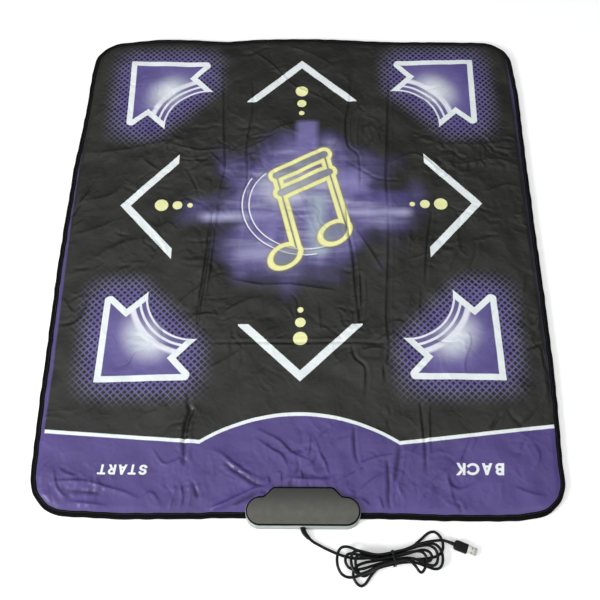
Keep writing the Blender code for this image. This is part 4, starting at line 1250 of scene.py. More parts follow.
@dataclass
class StudioView:
    """The camera of the photograph, the lamps and the pale floor."""

    place: tuple = (0.0084, -0.6944, 1.2397)
    turn: tuple = (0.255, 25.713, 0.275)
    lens: float = 49.23
    floor_colour: str = "#f6f7f7"
    floor_half: float = 12.0

    def aim_camera(self) -> None:
        """Put the camera where the photograph was taken from."""
        data = bpy.data.cameras.new("photo_camera")
        data.lens = self.lens
        data.sensor_width = 36.0
        data.sensor_fit = "HORIZONTAL"
        camera = put("photo_camera", data)
        about_z, about_x, about_y = (math.radians(a) for a in self.turn)
        turn = Euler((0, 0, about_z)).to_matrix() @ Euler((about_x, 0, 0)).to_matrix()
        turn = turn @ Euler((0, about_y, 0)).to_matrix()
        camera.matrix_world = turn.to_4x4()
        camera.location = self.place
        bpy.context.scene.camera = camera

    def lay_floor(self) -> None:
        """A pale floor that the camera sees as white, with the mat's soft shadow on it."""
        material, graph, shader = new_material("pale_studio_floor")
        graph.fill(shader, {"Base Color": linear(self.floor_colour), "Roughness": 0.9})
        path = graph.add("ShaderNodeLightPath").node.outputs
        seen = graph.join("MAXIMUM", [path["Is Camera Ray"], path["Is Glossy Ray"],
                                      path["Is Transmission Ray"]])
        far_off = graph.add(VECTOR, graph.add(COORDINATES, out="Object"), out=1,
                            operation="LENGTH")
        # Near the mat the floor keeps its shadow, and further off it turns white
        lift = graph.add(RANGE, far_off, 0.9, 3.5, 0.24, 0.75)
        lift = graph.add(MATH, seen, lift, operation="MULTIPLY")
        glow = graph.add("ShaderNodeEmission", WHITE, lift)
        both = graph.add("ShaderNodeAddShader", shader.outputs[0], glow)
        graph.fill(material.node_tree.nodes["Material Output"], {"Surface": both})
        corners = [(self.floor_half * x, self.floor_half * y, 0)
                   for x, y in ((-1, -1), (1, -1), (1, 1), (-1, 1))]
        new_piece("studio_floor", (corners, [(0, 1, 2, 3)]), material)

    def add_lamp(self, name: str, place: tuple, aim: tuple, size: float, power: float) -> None:
        """Add a square soft lamp.

        Args:
            name: its name.
            place: where it hangs.
            aim: the place it is turned to.
            size: length of its side.
            power: its power in watts.
        """
        data = bpy.data.lights.new(name, "AREA")
        data.shape = "SQUARE"
        data.size = size
        data.energy = power
        lamp = put(name, data)
        lamp.location = place
        way = Vector(aim) - Vector(place)
        lamp.rotation_euler = way.to_track_quat("-Z", "Y").to_euler()

    def light(self) -> None:
        """A white room and two soft lamps, at a level where colours show as written."""
        scene = bpy.context.scene
        scene.view_settings.view_transform = "Standard"
        world = bpy.data.worlds.new("white_room")
        scene.world = world
        world.use_nodes = True
        graph = Graph(world.node_tree)
        way = graph.add(COORDINATES, out="Generated")
        # Bright overhead and dim towards the walls
        tilt = graph.add(VECTOR, way, (-0.20, -0.06, 0.978), out=1, operation="DOT_PRODUCT")
        ceiling = graph.add(RANGE, tilt, 0.62, 1.0, 0.14, 1.30,
                            interpolation_type="SMOOTHSTEP")
        seen = graph.add("ShaderNodeLightPath", out="Is Camera Ray")
        level = graph.add(MIX, seen, named={2: ceiling, 3: 1.0}, data_type="FLOAT")
        graph.fill(world.node_tree.nodes["Background"], {"Color": WHITE, "Strength": level})
        self.add_lamp("side_lamp", (-2.4, -1.5, 1.5), (0, 0.05, 0), 0.9, 80.0)
        self.add_lamp("fill_lamp", (2.0, -2.0, 2.2), (0, 0, 0), 1.4, 22.0)


@dataclass
class CordRoute:
    """The route of the cord, as the frame's solids have it, from the box to the plug."""

    plan: Plan = PLAN
    diameter: float = 4.2 * MM
    relief: tuple = ((0, -1.7, 6.0), (0.2, -7.5, 6.0), (4.2, -11.5, 4.4), (9.2, -16.4, 3.6))
    lead: tuple = ((17, -22, 2.9), (28, -28, 2.4), (40, -33.5, 2.3), (51, -38, 2.3),
                   (62, -41.5, 2.3), (74, -43.8, 2.3), (86, -44, 2.4), (97, -43, 2.7),
                   (107, -41.2, 3.1))
    tail: tuple = ((149, -33.0, 17.4), (159, -28.6, 17.2), (171, -24.6, 16.2),
                   (183, -21.6, 14.4), (194, -19.6, 11.6), (202, -18.9, 9.2))
    waist: Point = (131, -45)
    tilt: float = 12.0
    waist_half: float = 13 * MM
    waist_lift: float = 1.4 * MM
    lobes: tuple = ((78, 13.0, 11), (64, 11.0, 20), (56, 6.4, -11), (55, 12.0, 5),
                    (72, 13.0, -13), (82, 16.5, -12), (64, 10.5, -17), (70, 9.5, -12),
                    (48, 11.0, -34), (62, 12.0, -6))
    sides: tuple = (1.5, -1.0, 0.5, -0.5, 1.5, -1.5, 1.5, -0.5, 0.5, -1.0, 1.5)
    layers: tuple = (0, 0, 0, 1, 1, 1, 2, 2, 2, 3, 3)
    climbs: tuple = (2, 5, 8)
    lobe_steps: int = 11
    lobe_swell: float = 2.6

    @property
    def step(self) -> float:
        """Distance between two runs side by side at the waist."""
        return self.diameter + 1.1 * MM

    @property
    def layer_step(self) -> float:
        """Height from one layer of the hank to the next."""
        return self.diameter + 0.55 * MM

    @property
    def floor(self) -> float:
        """Height of the middle of the lowest runs."""
        return self.diameter / 2 + 0.15 * MM

    @property
    def waist_point(self) -> Vector:
        """The middle of the hank, on the floor."""
        return self.plan.box_point(*self.waist)

    def ways(self) -> tuple[Vector, Vector]:
        """Along and across the hank's waist."""
        a = math.radians(self.tilt)
        return Vector((math.cos(a), math.sin(a), 0)), Vector((-math.sin(a), math.cos(a), 0))

    def world(self, places: Sequence[tuple]) -> list[Vector]:
        """Route places in mm from the box's front edge as world points."""
        return [self.plan.box_point(*place) for place in places]

    def hank_point(self, forward: float, aside: float, layer: float) -> Vector:
        """A point of the hank from its waist, forward along the waist's own direction.

        Args:
            forward: distance along the waist.
            aside: distance across it.
            layer: how many layers up it lies.

        Returns:
            The point.
        """
        along, square = self.ways()
        lift = self.waist_lift * math.exp(-((forward / (1.6 * self.waist_half)) ** 2))
        place = self.waist_point + along * forward + square * aside
        place.z = self.floor + layer * self.layer_step + lift
        return place

    def lobe_point(self, index: int, phase: float) -> Vector:
        """A point of one lobe, from where it leaves the waist to where it comes back.

        Args:
            index: the lobe's number.
            phase: from 0 where it leaves to pi where it returns.

        Returns:
            The point.
        """
        reach, half_width, extra = self.lobes[index]
        sign = 1 if index % 2 == 0 else -1
        start, end = self.sides[index], self.sides[index + 1]
        side = ((start + end) / 2 + (start - end) / 2 * math.cos(phase)) * self.step
        bulge = sign * self.lobe_swell * half_width * MM * math.cos(phase) * math.sin(phase) ** 2
        out = (reach * MM - self.waist_half) * math.sin(phase)
        bend = math.radians(extra) * math.sin(phase)
        forward = out * math.cos(bend) * sign - (side + bulge) * math.sin(bend)
        aside = out * math.sin(bend) * sign + (side + bulge) * math.cos(bend)
        layer = self.layers[index] + (1 if index in self.climbs else 0)
        return self.hank_point(forward + sign * self.waist_half, aside, layer)

    def hank(self) -> list[Vector]:
        """The whole hank as one run of points.

        Returns:
            The points.
        """
        path = []
        lobes = len(self.lobes)
        for index in range(lobes + 1):
            sign = 1 if index % 2 == 0 else -1
            side = self.sides[index] * self.step
            low = self.layers[index]
            path.append(self.hank_point(-sign * self.waist_half, side, low))
            if index < lobes:
                path += [self.lobe_point(index, math.pi * i / self.lobe_steps)
                         for i in range(self.lobe_steps)]
            else:
                path.append(self.hank_point(sign * self.waist_half, side, low))
        return path

    def plug_ends(self) -> tuple[Vector, Vector]:
        """Where the plug's neck starts, and a point further along it."""
        return self.plan.box_point(210.5, -19.6, 5.8), self.plan.box_point(239.6, -30.6, 4.3)

    def whole(self) -> list[Vector]:
        """The cord's middle line from the strain relief to the plug, 1.74 m of it.

        Returns:
            Points 1.2 mm apart.
        """
        hank = self.hank()
        relief = self.world(self.relief)
        out = (relief[3] - relief[2]).normalized()
        start = relief[3] - out * 2 * MM
        plug, further = self.plug_ends()
        way = (further - plug).normalized()
        into = (hank[1] - hank[0]).normalized()
        away = (hank[-1] - hank[-2]).normalized()
        d = self.diameter
        lead = smooth_path([start, relief[3] + out * d] + self.world(self.lead)
                           + [hank[0] - into * d], 2.2 * d)
        tail = smooth_path([hank[-1] + away * d] + self.world(self.tail)
                           + [plug - way * d, plug + way * MM], 2.2 * d)
        return smooth_path(lead + hank + tail, 1.2 * MM)


class Layer(Enum):
    """A part of the print, so that a piece's finish holds only what can show on it."""

    HAZE = "haze"
    HALFTONE = "halftone"
    ARROW = "arrow"
    SIDE = "side chevron"
    END = "end chevron"
    STRIP = "near strip"
    MARGIN = "side margins"
    MOTIF = "motif"
    START = "start"
    BACK = "back"


LETTER_HEIGHT = 17.0

# Plain capitals of that height: straight strokes, right-hand bowls, three-quarter curls and
# an open round, as (form, numbers in mm)
LETTERS = {
    "S": (("curl", 5.6, 11.9, 3.4, 1, -1), ("curl", 5.6, 5.1, 3.4, -1, 1)),
    "T": (("line", 1.6, 15.3, 10.6, 15.3), ("line", 6.1, 15.3, 6.1, 0)),
    "A": (("line", 1.2, 0, 6.0, 16.4), ("line", 6.0, 16.4, 10.8, 0),
          ("line", 3.0, 4.9, 9.0, 4.9)),
    "R": (("line", 2.4, 0, 2.4, 17), ("line", 2.4, 15.3, 6.3, 15.3),
          ("line", 2.4, 8.1, 6.3, 8.1), ("bowl", 6.3, 11.7, 3.6), ("line", 6.2, 8.1, 10.3, 0)),
    "B": (("line", 2.4, 0, 2.4, 17), ("line", 2.4, 15.3, 6.2, 15.3),
          ("line", 2.4, 8.7, 6.6, 8.7), ("line", 2.4, 1.7, 6.6, 1.7),
          ("bowl", 6.2, 12.0, 3.3), ("bowl", 6.6, 5.2, 3.5)),
    "C": (("open", 7.9, 8.5, 6.8),),
    "K": (("line", 2.4, 0, 2.4, 17), ("line", 10.2, 17, 2.9, 7.4), ("line", 5.2, 9.6, 10.6, 0)),
}

# The haze's cloud as ovals: middle and half sizes in mm
HAZE_OVALS = ((13, -4, 208, 72), (2, 60, 158, 102), (-4, -58, 154, 104))

# Its streaks: stretch across and along in turns per mm, noise limits, strength and colour
HAZE_STREAKS = (
    ((1 / 110, 1 / 16), 0.46, 0.66, 0.75, "#a8a7cb"),
    ((1 / 22, 1 / 140), 0.50, 0.70, 0.55, "#8f8bbb"),
    ((1 / 34, 1 / 120), 0.52, 0.68, 0.45, "#3b3366"),
)

# Blurred bars of the haze: x and y limits in mm from the middle of the pattern, colour,
# strength and softness in mm
HAZE_BARS = (
    (-12, 32, 96, 186, "#7a73ae", 0.80, 6), (-70, 14, -2, 70, "#c3c6dd", 0.95, 18),
    (-84, 60, 34, 56, "#b4b6d4", 0.75, 10), (-180, -44, -32, -12, "#a5a4ca", 0.90, 10),
    (56, 196, -24, -6, "#a5a4ca", 0.85, 9), (84, 196, 2, 30, "#4a4180", 0.70, 8),
    (10, 50, -104, 28, "#a9b8c6", 0.80, 12), (-116, -40, -112, -80, "#9a98c0", 0.75, 12),
    (54, 118, 24, 78, "#827db3", 0.70, 12), (-100, -30, -70, -8, "#716aa6", 0.60, 10),
    (40, 104, -90, -20, "#6a629e", 0.60, 12),
)

# The two chevron lines: distance from the apex lines, cut-off and dots (place, radius), in mm
CHEVRONS = {
    Layer.SIDE: (319.0, 0.744, 0.669, 221.7, ((246.2, 11.8), (218.3, 8.5), (196.0, 4.8))),
    Layer.END: (329.0, 0.724, 0.690, 229.0, ((254.8, 11.7), (226.0, 8.6), (203.0, 5.0))),
}


@dataclass
class PrintDesk:
    """Draws the mat's print as node maths, in mm from the middle of the pattern."""

    graph: Graph
    screen_middle: Point = (256.0, 249.0)
    screen_half: Point = (112.0, 116.5)
    screen_round: float = 90.0
    screen_cut: float = 396.0
    dot_pitch: float = 8.0
    arrow_pen: float = 5.3
    arrow_edges: tuple = (((320.5, 176.0), (323.3, 323.3)), ((288.0, 207.4), (322.0, 175.9)),
                          ((252.1, 173.1), (288.0, 207.4)))
    arrow_tip: Point = (316.8, 187.0)
    arrow_heart: float = 356.0
    tail_centre: Point = (174.0, 174.0)
    tail_radii: tuple = (80.5, 84.3, 91.2, 95.8, 101.8, 112.0)
    chevron_half: float = 6.75
    arch_half: float = 154.0
    arch_radius: float = 285.0
    arch_centre: float = -584.4
    strip_far: float = -344.7
    line_half: float = 2.9
    line_end: float = 394.5
    line_leans: Point = (0.0263, 0.0907)
    letter_wide: float = 1.10
    letter_lean: float = 0.09
    letter_pen: float = 1.75
    note_lean: float = 14.0
    note_heads: tuple = ((-52.0, -86.0), (42.0, -62.0))
    head_tilt: float = 24.0
    head_half: float = 20.0
    head_squeeze: float = 0.70
    stem_aside: float = 22.0
    stem_half: float = 5.5
    stem_run: Point = (4.0, 166.0)
    beams: tuple = (((-30.0, 78.0), (64.0, 102.0)), ((-30.0, 40.0), (64.0, 64.0)))
    beam_half: float = 11.0
    tube_half: float = 3.9
    core_half: float = 1.2
    ring_middle: Point = (8.0, 4.0)
    ring_radii: Point = (92.0, 103.0)
    ring_squeeze: float = 0.92
    middle: float = 83.5
    skew: float = 0.0105
    side_lift: float = 1.8

    def __post_init__(self) -> None:
        """Work out the coordinates that every layer reads."""
        g = self.graph
        place = g.add(COORDINATES, out="Object")
        self.place = g.add(VECTOR, place, named={3: 1000.0}, operation="SCALE")
        self.x = g.add(SPLIT, self.place, out="X")
        self.board_y = g.add(SPLIT, self.place, out="Y")
        level = g.add(MATH, self.x, -self.skew, -self.middle, operation="MULTIPLY_ADD")
        self.y = self.sum(self.board_y, level)
        self.a = g.add(MATH, self.x, operation="ABSOLUTE")
        self.b = g.add(MATH, self.y, operation="ABSOLUTE")
        self.creases = self.fine_creases()

    def fine_creases(self) -> Any:
        """A mask of hair-thin creases, in patches where the film was crushed.

        Returns:
            The mask.
        """
        g = self.graph
        # Cells 36 mm across, swayed over 60 mm, and kept in patches of 24 and 120 mm
        sway = g.add(NOISE, self.place, out="Color", named={"Scale": 1 / 60, "Detail": 1.0})
        swayed = g.add(VECTOR, sway, (40.0, 40.0, 0.0), self.place, operation="MULTIPLY_ADD")
        cells = g.add("ShaderNodeTexVoronoi", swayed, named={"Scale": 1 / 36},
                      feature="DISTANCE_TO_EDGE", voronoi_dimensions="2D")
        line = g.add(RANGE, cells, 0.034, 0.010, 0.0, 1.0)
        kept = g.add(NOISE, self.place, named={"Scale": 1 / 24, "Detail": 0.0})
        kept = g.add(RANGE, kept, 0.47, 0.60, 0.0, 1.0)
        crushed = g.add(NOISE, self.place, named={"Scale": 1 / 120, "Detail": 1.0})
        crushed = g.add(RANGE, crushed, 0.44, 0.60, 0.15, 1.0)
        return self.times(self.times(line, kept), crushed)

    def rest_of(self, value: Any) -> Any:
        """What a value leaves of 1."""
        return self.graph.add(MATH, 1.0, value, operation="SUBTRACT")

    def sum(self, one: Any, other: Any) -> Any:
        """The sum of two values."""
        return self.graph.add(MATH, one, other, operation="ADD")

    def line(self, across: float, along: float, offset: float, x: Any = None,
             y: Any = None) -> Any:
        """The value across * x + along * y + offset, on the folded axes unless told.

        Args:
            across: the factor of x.
            along: the factor of y.
            offset: what is added.
            x: the first coordinate, or the folded one.
            y: the second coordinate, or the folded one.

        Returns:
            The value.
        """
        x, y = (self.a if x is None else x), (self.b if y is None else y)
        first = self.graph.add(MATH, x, across, offset, operation="MULTIPLY_ADD")
        return self.graph.add(MATH, y, along, first, operation="MULTIPLY_ADD")

    def edge(self, through: Point, other: Point, x: Any = None, y: Any = None) -> Any:
        """Signed distance from a line through two points, negative on its left.

        Args:
            through: the first point.
            other: the second point.
            x: the first coordinate, or the folded one.
            y: the second coordinate, or the folded one.

        Returns:
            The distance.
        """
        dx, dy = other[0] - through[0], other[1] - through[1]
        size = math.hypot(dx, dy)
        across, along = dy / size, -dx / size
        return self.line(across, along, -across * through[0] - along * through[1], x, y)

    def most(self, values: Sequence[Any]) -> Any:
        """The greatest of several values."""
        return self.graph.join("MAXIMUM", values)

    def least(self, values: Sequence[Any]) -> Any:
        """The least of several values."""
        return self.graph.join("MINIMUM", values)

    def inside(self, distance: Any, soft: float = 0.5) -> Any:
        """A mask that is 1 where a distance is negative, with an edge that soft."""
        return self.graph.add(RANGE, distance, soft, -soft, 0.0, 1.0)

    def width_of(self, value: Any, middle: float, half: float) -> Any:
        """How far a value is from the band round a middle, negative inside the band.

        Args:
            value: the value.
            middle: middle of the band.
            half: half its width.

        Returns:
            The distance.
        """
        away = self.graph.add(MATH, value, middle, operation="SUBTRACT")
        away = self.graph.add(MATH, away, operation="ABSOLUTE")
        return self.graph.add(MATH, away, half, operation="SUBTRACT")

    def band(self, value: Any, low: float, high: float, soft: float = 0.5) -> Any:
        """A mask that is 1 where a value lies between two limits."""
        return self.inside(self.width_of(value, (low + high) / 2, (high - low) / 2), soft)

    def radius(self, centre: Point, x: Any, y: Any, squeeze: float = 1.0) -> Any:
        """The distance from a centre, with x squeezed for an oval.

        Args:
            centre: the centre.
            x: the first coordinate.
            y: the second coordinate.
            squeeze: the factor of x, 1 for a circle.

        Returns:
            The distance.
        """
        dx = self.graph.add(MATH, x, squeeze, -centre[0] * squeeze, operation="MULTIPLY_ADD")
        dy = self.sum(y, -centre[1])
        both = self.graph.add(JOINED, dx, dy)
        return self.graph.add(VECTOR, both, out=1, operation="LENGTH")

    def stroke(self, x: Any, y: Any, start: Point, end: Point) -> Any:
        """The distance from the segment between two points.

        Args:
            x: the first coordinate.
            y: the second coordinate.
            start: one end.
            end: the other end.

        Returns:
            The distance.
        """
        g = self.graph
        way = Vector((end[0] - start[0], end[1] - start[1], 0))
        here = g.add(JOINED, self.sum(x, -start[0]), self.sum(y, -start[1]))
        along = g.add(VECTOR, here, tuple(way / way.length_squared), out=1,
                      operation="DOT_PRODUCT")
        along = g.add(MATH, along, 0.0, operation="ADD", use_clamp=True)
        back = g.add(VECTOR, along, tuple(-way), here, operation="MULTIPLY_ADD")
        return g.add(VECTOR, back, out=1, operation="LENGTH")

    def times(self, one: Any, other: Any) -> Any:
        """The product of two values."""
        return self.graph.add(MATH, one, other, operation="MULTIPLY")

    def letter(self, s: Any, t: Any, letter: str, shift: float) -> list[Any]:
        """The distances from each stroke of one capital.

        Args:
            s: place along the line of writing.
            t: height above its foot.
            letter: a key of LETTERS.
            shift: where the letter starts.

        Returns:
            One distance for each stroke.
        """
        found = []
        for form, *at in LETTERS[letter]:
            if form == "line":
                found.append(self.stroke(s, t, (at[0] + shift, at[1]), (at[2] + shift, at[3])))
                continue
            centre = (at[0] + shift, at[1])
            squeeze = 0.86 if form == "curl" else 1.0
            ring = self.width_of(self.radius(centre, s, t, squeeze), at[2], 0.0)
            right = self.sum(s, -centre[0])
            if form == "bowl":
                found.append(self.most([ring, self.times(right, -1.0)]))
            elif form == "curl":
                rise = self.graph.add(MATH, t, centre[1], operation="SUBTRACT")
                cut = self.least([self.times(right, at[3]), self.times(rise, at[4])])
                found.append(self.most([ring, self.times(cut, 4.0)]))
            else:
                rise = self.width_of(t, centre[1], 0.0)
                cut = self.graph.add(MATH, self.times(right, 0.75), rise, operation="SUBTRACT")
                found.append(self.most([ring, cut]))
        return found

    def word(self, text: str, start: Point, cap: float, pitch: float) -> Any:
        """A mask for a plain word that reads from the far side of the mat.

        Args:
            text: capitals that LETTERS has.
            start: x and y in mm where the first letter's foot stands.
            cap: height of the letters.
            pitch: distance from one letter to the next, at LETTER_HEIGHT.

        Returns:
            The mask.
        """
        g = self.graph
        size = LETTER_HEIGHT / cap
        wide = size / self.letter_wide
        s = g.add(MATH, self.x, -wide, start[0] * wide, operation="MULTIPLY_ADD")
        t = g.add(MATH, self.board_y, -size, start[1] * size, operation="MULTIPLY_ADD")
        s = g.add(MATH, t, -self.letter_lean, s, operation="MULTIPLY_ADD")
        strokes = []
        for place, letter in enumerate(text):
            strokes += self.letter(s, t, letter, place * pitch)
        pen = self.sum(self.least(strokes), -self.letter_pen)
        rows = self.width_of(t, LETTER_HEIGHT / 2, LETTER_HEIGHT / 2)
        return self.inside(self.most([pen, rows]), 0.35)

    def halftone(self) -> tuple[Any, Any, Any]:
        """The purple field round a corner arrow, its black dots and how near its rim is.

        Returns:
            The three masks.
        """
        g = self.graph
        across, along = (self.width_of(value, middle, half) for value, middle, half in
                         zip((self.a, self.b), self.screen_middle, self.screen_half))
        away = g.add(MATH, across, along, self.screen_round, operation="SMOOTH_MAX")
        facing = self.line(-SLANT, -SLANT, self.screen_cut * SLANT)
        away = g.add(MATH, away, facing, 20.0, operation="SMOOTH_MAX")
        field_mask = g.add(RANGE, away, 12.0, -26.0, 0.0, 1.0, interpolation_type="SMOOTHSTEP")
        # The dots shrink from 3.35 mm at the rim to 2.25 mm, 52 mm further in
        dot = g.add(RANGE, away, 0.0, -52.0, 3.35, 2.25)
        first, second = (g.add(MATH, self.line(SLANT, along, 0.0), self.dot_pitch / 2,
                               operation="PINGPONG") for along in (SLANT, -SLANT))
        both = g.add(JOINED, first, second)
        round_one = g.add(VECTOR, both, out=1, operation="LENGTH")
        here = self.times(self.sum(round_one, self.most([first, second])), 0.5)
        dots = self.inside(g.add(MATH, here, dot, operation="SUBTRACT"), 0.55)
        rim = g.add(RANGE, away, -4.0, -30.0, 1.0, 0.0)
        return field_mask, dots, rim

    def arrow(self) -> dict[str, Any]:
        """The corner arrow: its fill, outline, glow, bloom, and pale and dark tail stripes.

        Returns:
            A mask under each name.
        """
        g = self.graph
        p = g.add(MATH, self.a, self.b, operation="MAXIMUM")
        q = g.add(MATH, self.a, self.b, operation="MINIMUM")
        side, back, shaft = (self.edge(*ends, p, q) for ends in self.arrow_edges)
        shape = self.most([side, self.least([back, shaft])])
        radii, tip = self.tail_radii, self.arrow_tip
        reach = self.radius(self.tail_centre, p, q)
        tail = g.add(MATH, radii[0], reach, operation="SUBTRACT")
        # The outline's sharp corner ends two pens past the tip
        beyond = self.line(0.428, -0.904, 0.904 * tip[1] - 0.428 * tip[0], p, q)
        off = self.sum(self.radius(tip, p, q), -2 * self.arrow_pen)
        band = self.most([self.width_of(shape, 0.0, self.arrow_pen),
                          self.least([self.times(beyond, 3.0), off])])
        spread = g.add(MATH, self.line(SLANT, -SLANT, 0.0), operation="ABSOLUTE")
        deep = self.line(SLANT, SLANT, -self.arrow_heart)
        oval = g.add(JOINED, self.times(spread, 0.80), deep)
        from_middle = g.add(VECTOR, oval, out=1, operation="LENGTH")
        bloom = g.add(RANGE, from_middle, 74.0, 12.0, 0.0, 0.75, interpolation_type="SMOOTHSTEP")
        glow = g.add(RANGE, from_middle, 48.0, 0.0, 0.0, 1.0, interpolation_type="SMOOTHSTEP")
        rays = g.add(JOINED, self.times(self.line(SLANT, -SLANT, 0.0), 1 / 9),
                     self.times(deep, 1 / 90))
        rays = g.add(NOISE, rays, named={"Scale": 1.0, "Detail": 1.0})
        glow = self.times(glow, g.add(RANGE, rays, 0.35, 0.60, 0.90, 1.0))
        pale = self.most([self.band(reach, *radii[:2]), self.band(reach, *radii[2:4]),
                          self.band(reach, *radii[4:], 2.4)])
        dark = self.most([self.band(reach, *radii[1:3]), self.band(reach, *radii[3:5])])
        fade = g.add(RANGE, spread, 4.0, 46.0, 0.45, 1.0)
        fill = self.inside(self.most([shape, tail]))
        return {"fill": fill, "outline": self.inside(self.most([band, tail])), "glow": glow,
                "bloom": bloom,
                "pale": self.times(pale, fill), "dark": self.times(self.times(dark, fill), fade)}

    def chevron(self, layer: Layer) -> tuple[Any, Any]:
        """A pair of chevrons and their dots, as two masks.

        Args:
            layer: which pair.

        Returns:
            The mask of the bars and of the dots.
        """
        apex, out, side, cut, dots = CHEVRONS[layer]
        main, cross = self.b, self.a
        if layer is Layer.SIDE:
            lifted = self.sum(self.y, -self.side_lift)
            main, cross = self.a, self.graph.add(MATH, lifted, operation="ABSOLUTE")
        distance = self.line(out, side, -apex * out, main, cross)
        bar = self.width_of(distance, -self.chevron_half, self.chevron_half)
        bar = self.most([bar, self.graph.add(MATH, cut, main, operation="SUBTRACT")])
        rounds = [self.sum(self.radius((place, 0), main, cross), -r) for place, r in dots]
        return self.inside(bar), self.inside(self.least(rounds))

    def strip(self) -> tuple[Any, Any]:
        """The purple strip by the box and the white line over it, as two masks.

        Returns:
            The two masks.
        """
        g = self.graph
        past = self.sum(self.a, -self.arch_half)
        # The straight runs lean away from the box, more on the right than on the left
        slope = g.add(MATH, g.add(MATH, self.x, operation="SIGN"), *self.line_leans,
                      operation="MULTIPLY_ADD")
        straight = g.add(MATH, past, slope, self.strip_far, operation="MULTIPLY_ADD")
        square = g.add(MATH, self.a, self.a, operation="MULTIPLY")
        arch = g.add(MATH, self.arch_radius ** 2, square, operation="SUBTRACT")
        arch = self.sum(g.add(MATH, arch, 0.5, operation="POWER"), self.arch_centre)
        outside = g.add(MATH, past, 0.0, operation="GREATER_THAN")
        top = g.add(MIX, outside, named={2: arch, 3: straight}, data_type="FLOAT")
        above = g.add(MATH, self.board_y, top, operation="SUBTRACT")
        line = self.most([self.width_of(above, 0.0, self.line_half),
                          self.sum(self.a, -self.line_end)])
        return self.inside(above), self.inside(line)

    def motif(self) -> dict[str, Any]:
        """Two notes in neon tube with sound rings: inside, tube, core, halo, rings and shade.

        Returns:
            A mask under each name.
        """
        g = self.graph
        lean, tilt = math.radians(self.note_lean), math.radians(self.head_tilt)
        x = self.line(math.cos(lean), math.sin(lean), -2.0, self.x, self.y)
        y = self.line(-math.sin(lean), math.cos(lean), 6.0, self.x, self.y)
        parts = []
        for centre in self.note_heads:
            near = self.line(math.cos(tilt), math.sin(tilt),
                             -centre[0] * math.cos(tilt) - centre[1] * math.sin(tilt), x, y)
            side = self.line(-math.sin(tilt), math.cos(tilt),
                             centre[0] * math.sin(tilt) - centre[1] * math.cos(tilt), x, y)
            oval = self.radius((0, 0), near, side, self.head_squeeze)
            parts.append(self.sum(oval, -self.head_half))
            stem = centre[0] + self.stem_aside
            foot, top = (centre[1] + run for run in self.stem_run)
            parts.append(self.sum(self.stroke(x, y, (stem, foot), (stem, top)),
                                  -self.stem_half))
        beams = self.least([self.stroke(x, y, *ends) for ends in self.beams])
        parts.append(self.sum(beams, -self.beam_half))
        body = self.least(parts)
        off = g.add(MATH, body, operation="ABSOLUTE")
        ring = self.radius(self.ring_middle, self.x, self.y, self.ring_squeeze)
        turned = self.line(0.80, 0.60, 10.0, self.x, self.y)
        # Two broken rings, then their shade 2.5 mm outside them
        rings, shade = (self.most([
            self.inside(self.most([self.width_of(ring, radius + out, half), reach]), soft)
            for radius, reach in zip(self.ring_radii, (turned, self.sum(turned, 26.0)))])
            for out, half, soft in ((0.0, 1.0, 0.5), (2.5, 1.6, 1.0)))
        return {"inside": self.inside(body),
                "tube": self.inside(self.sum(off, -self.tube_half), 0.8),
                "core": self.inside(self.sum(off, -self.core_half), 1.0),
                "halo": g.add(RANGE, off, 11.0, 3.0, 0.0, 1.0), "rings": rings, "shade": shade}


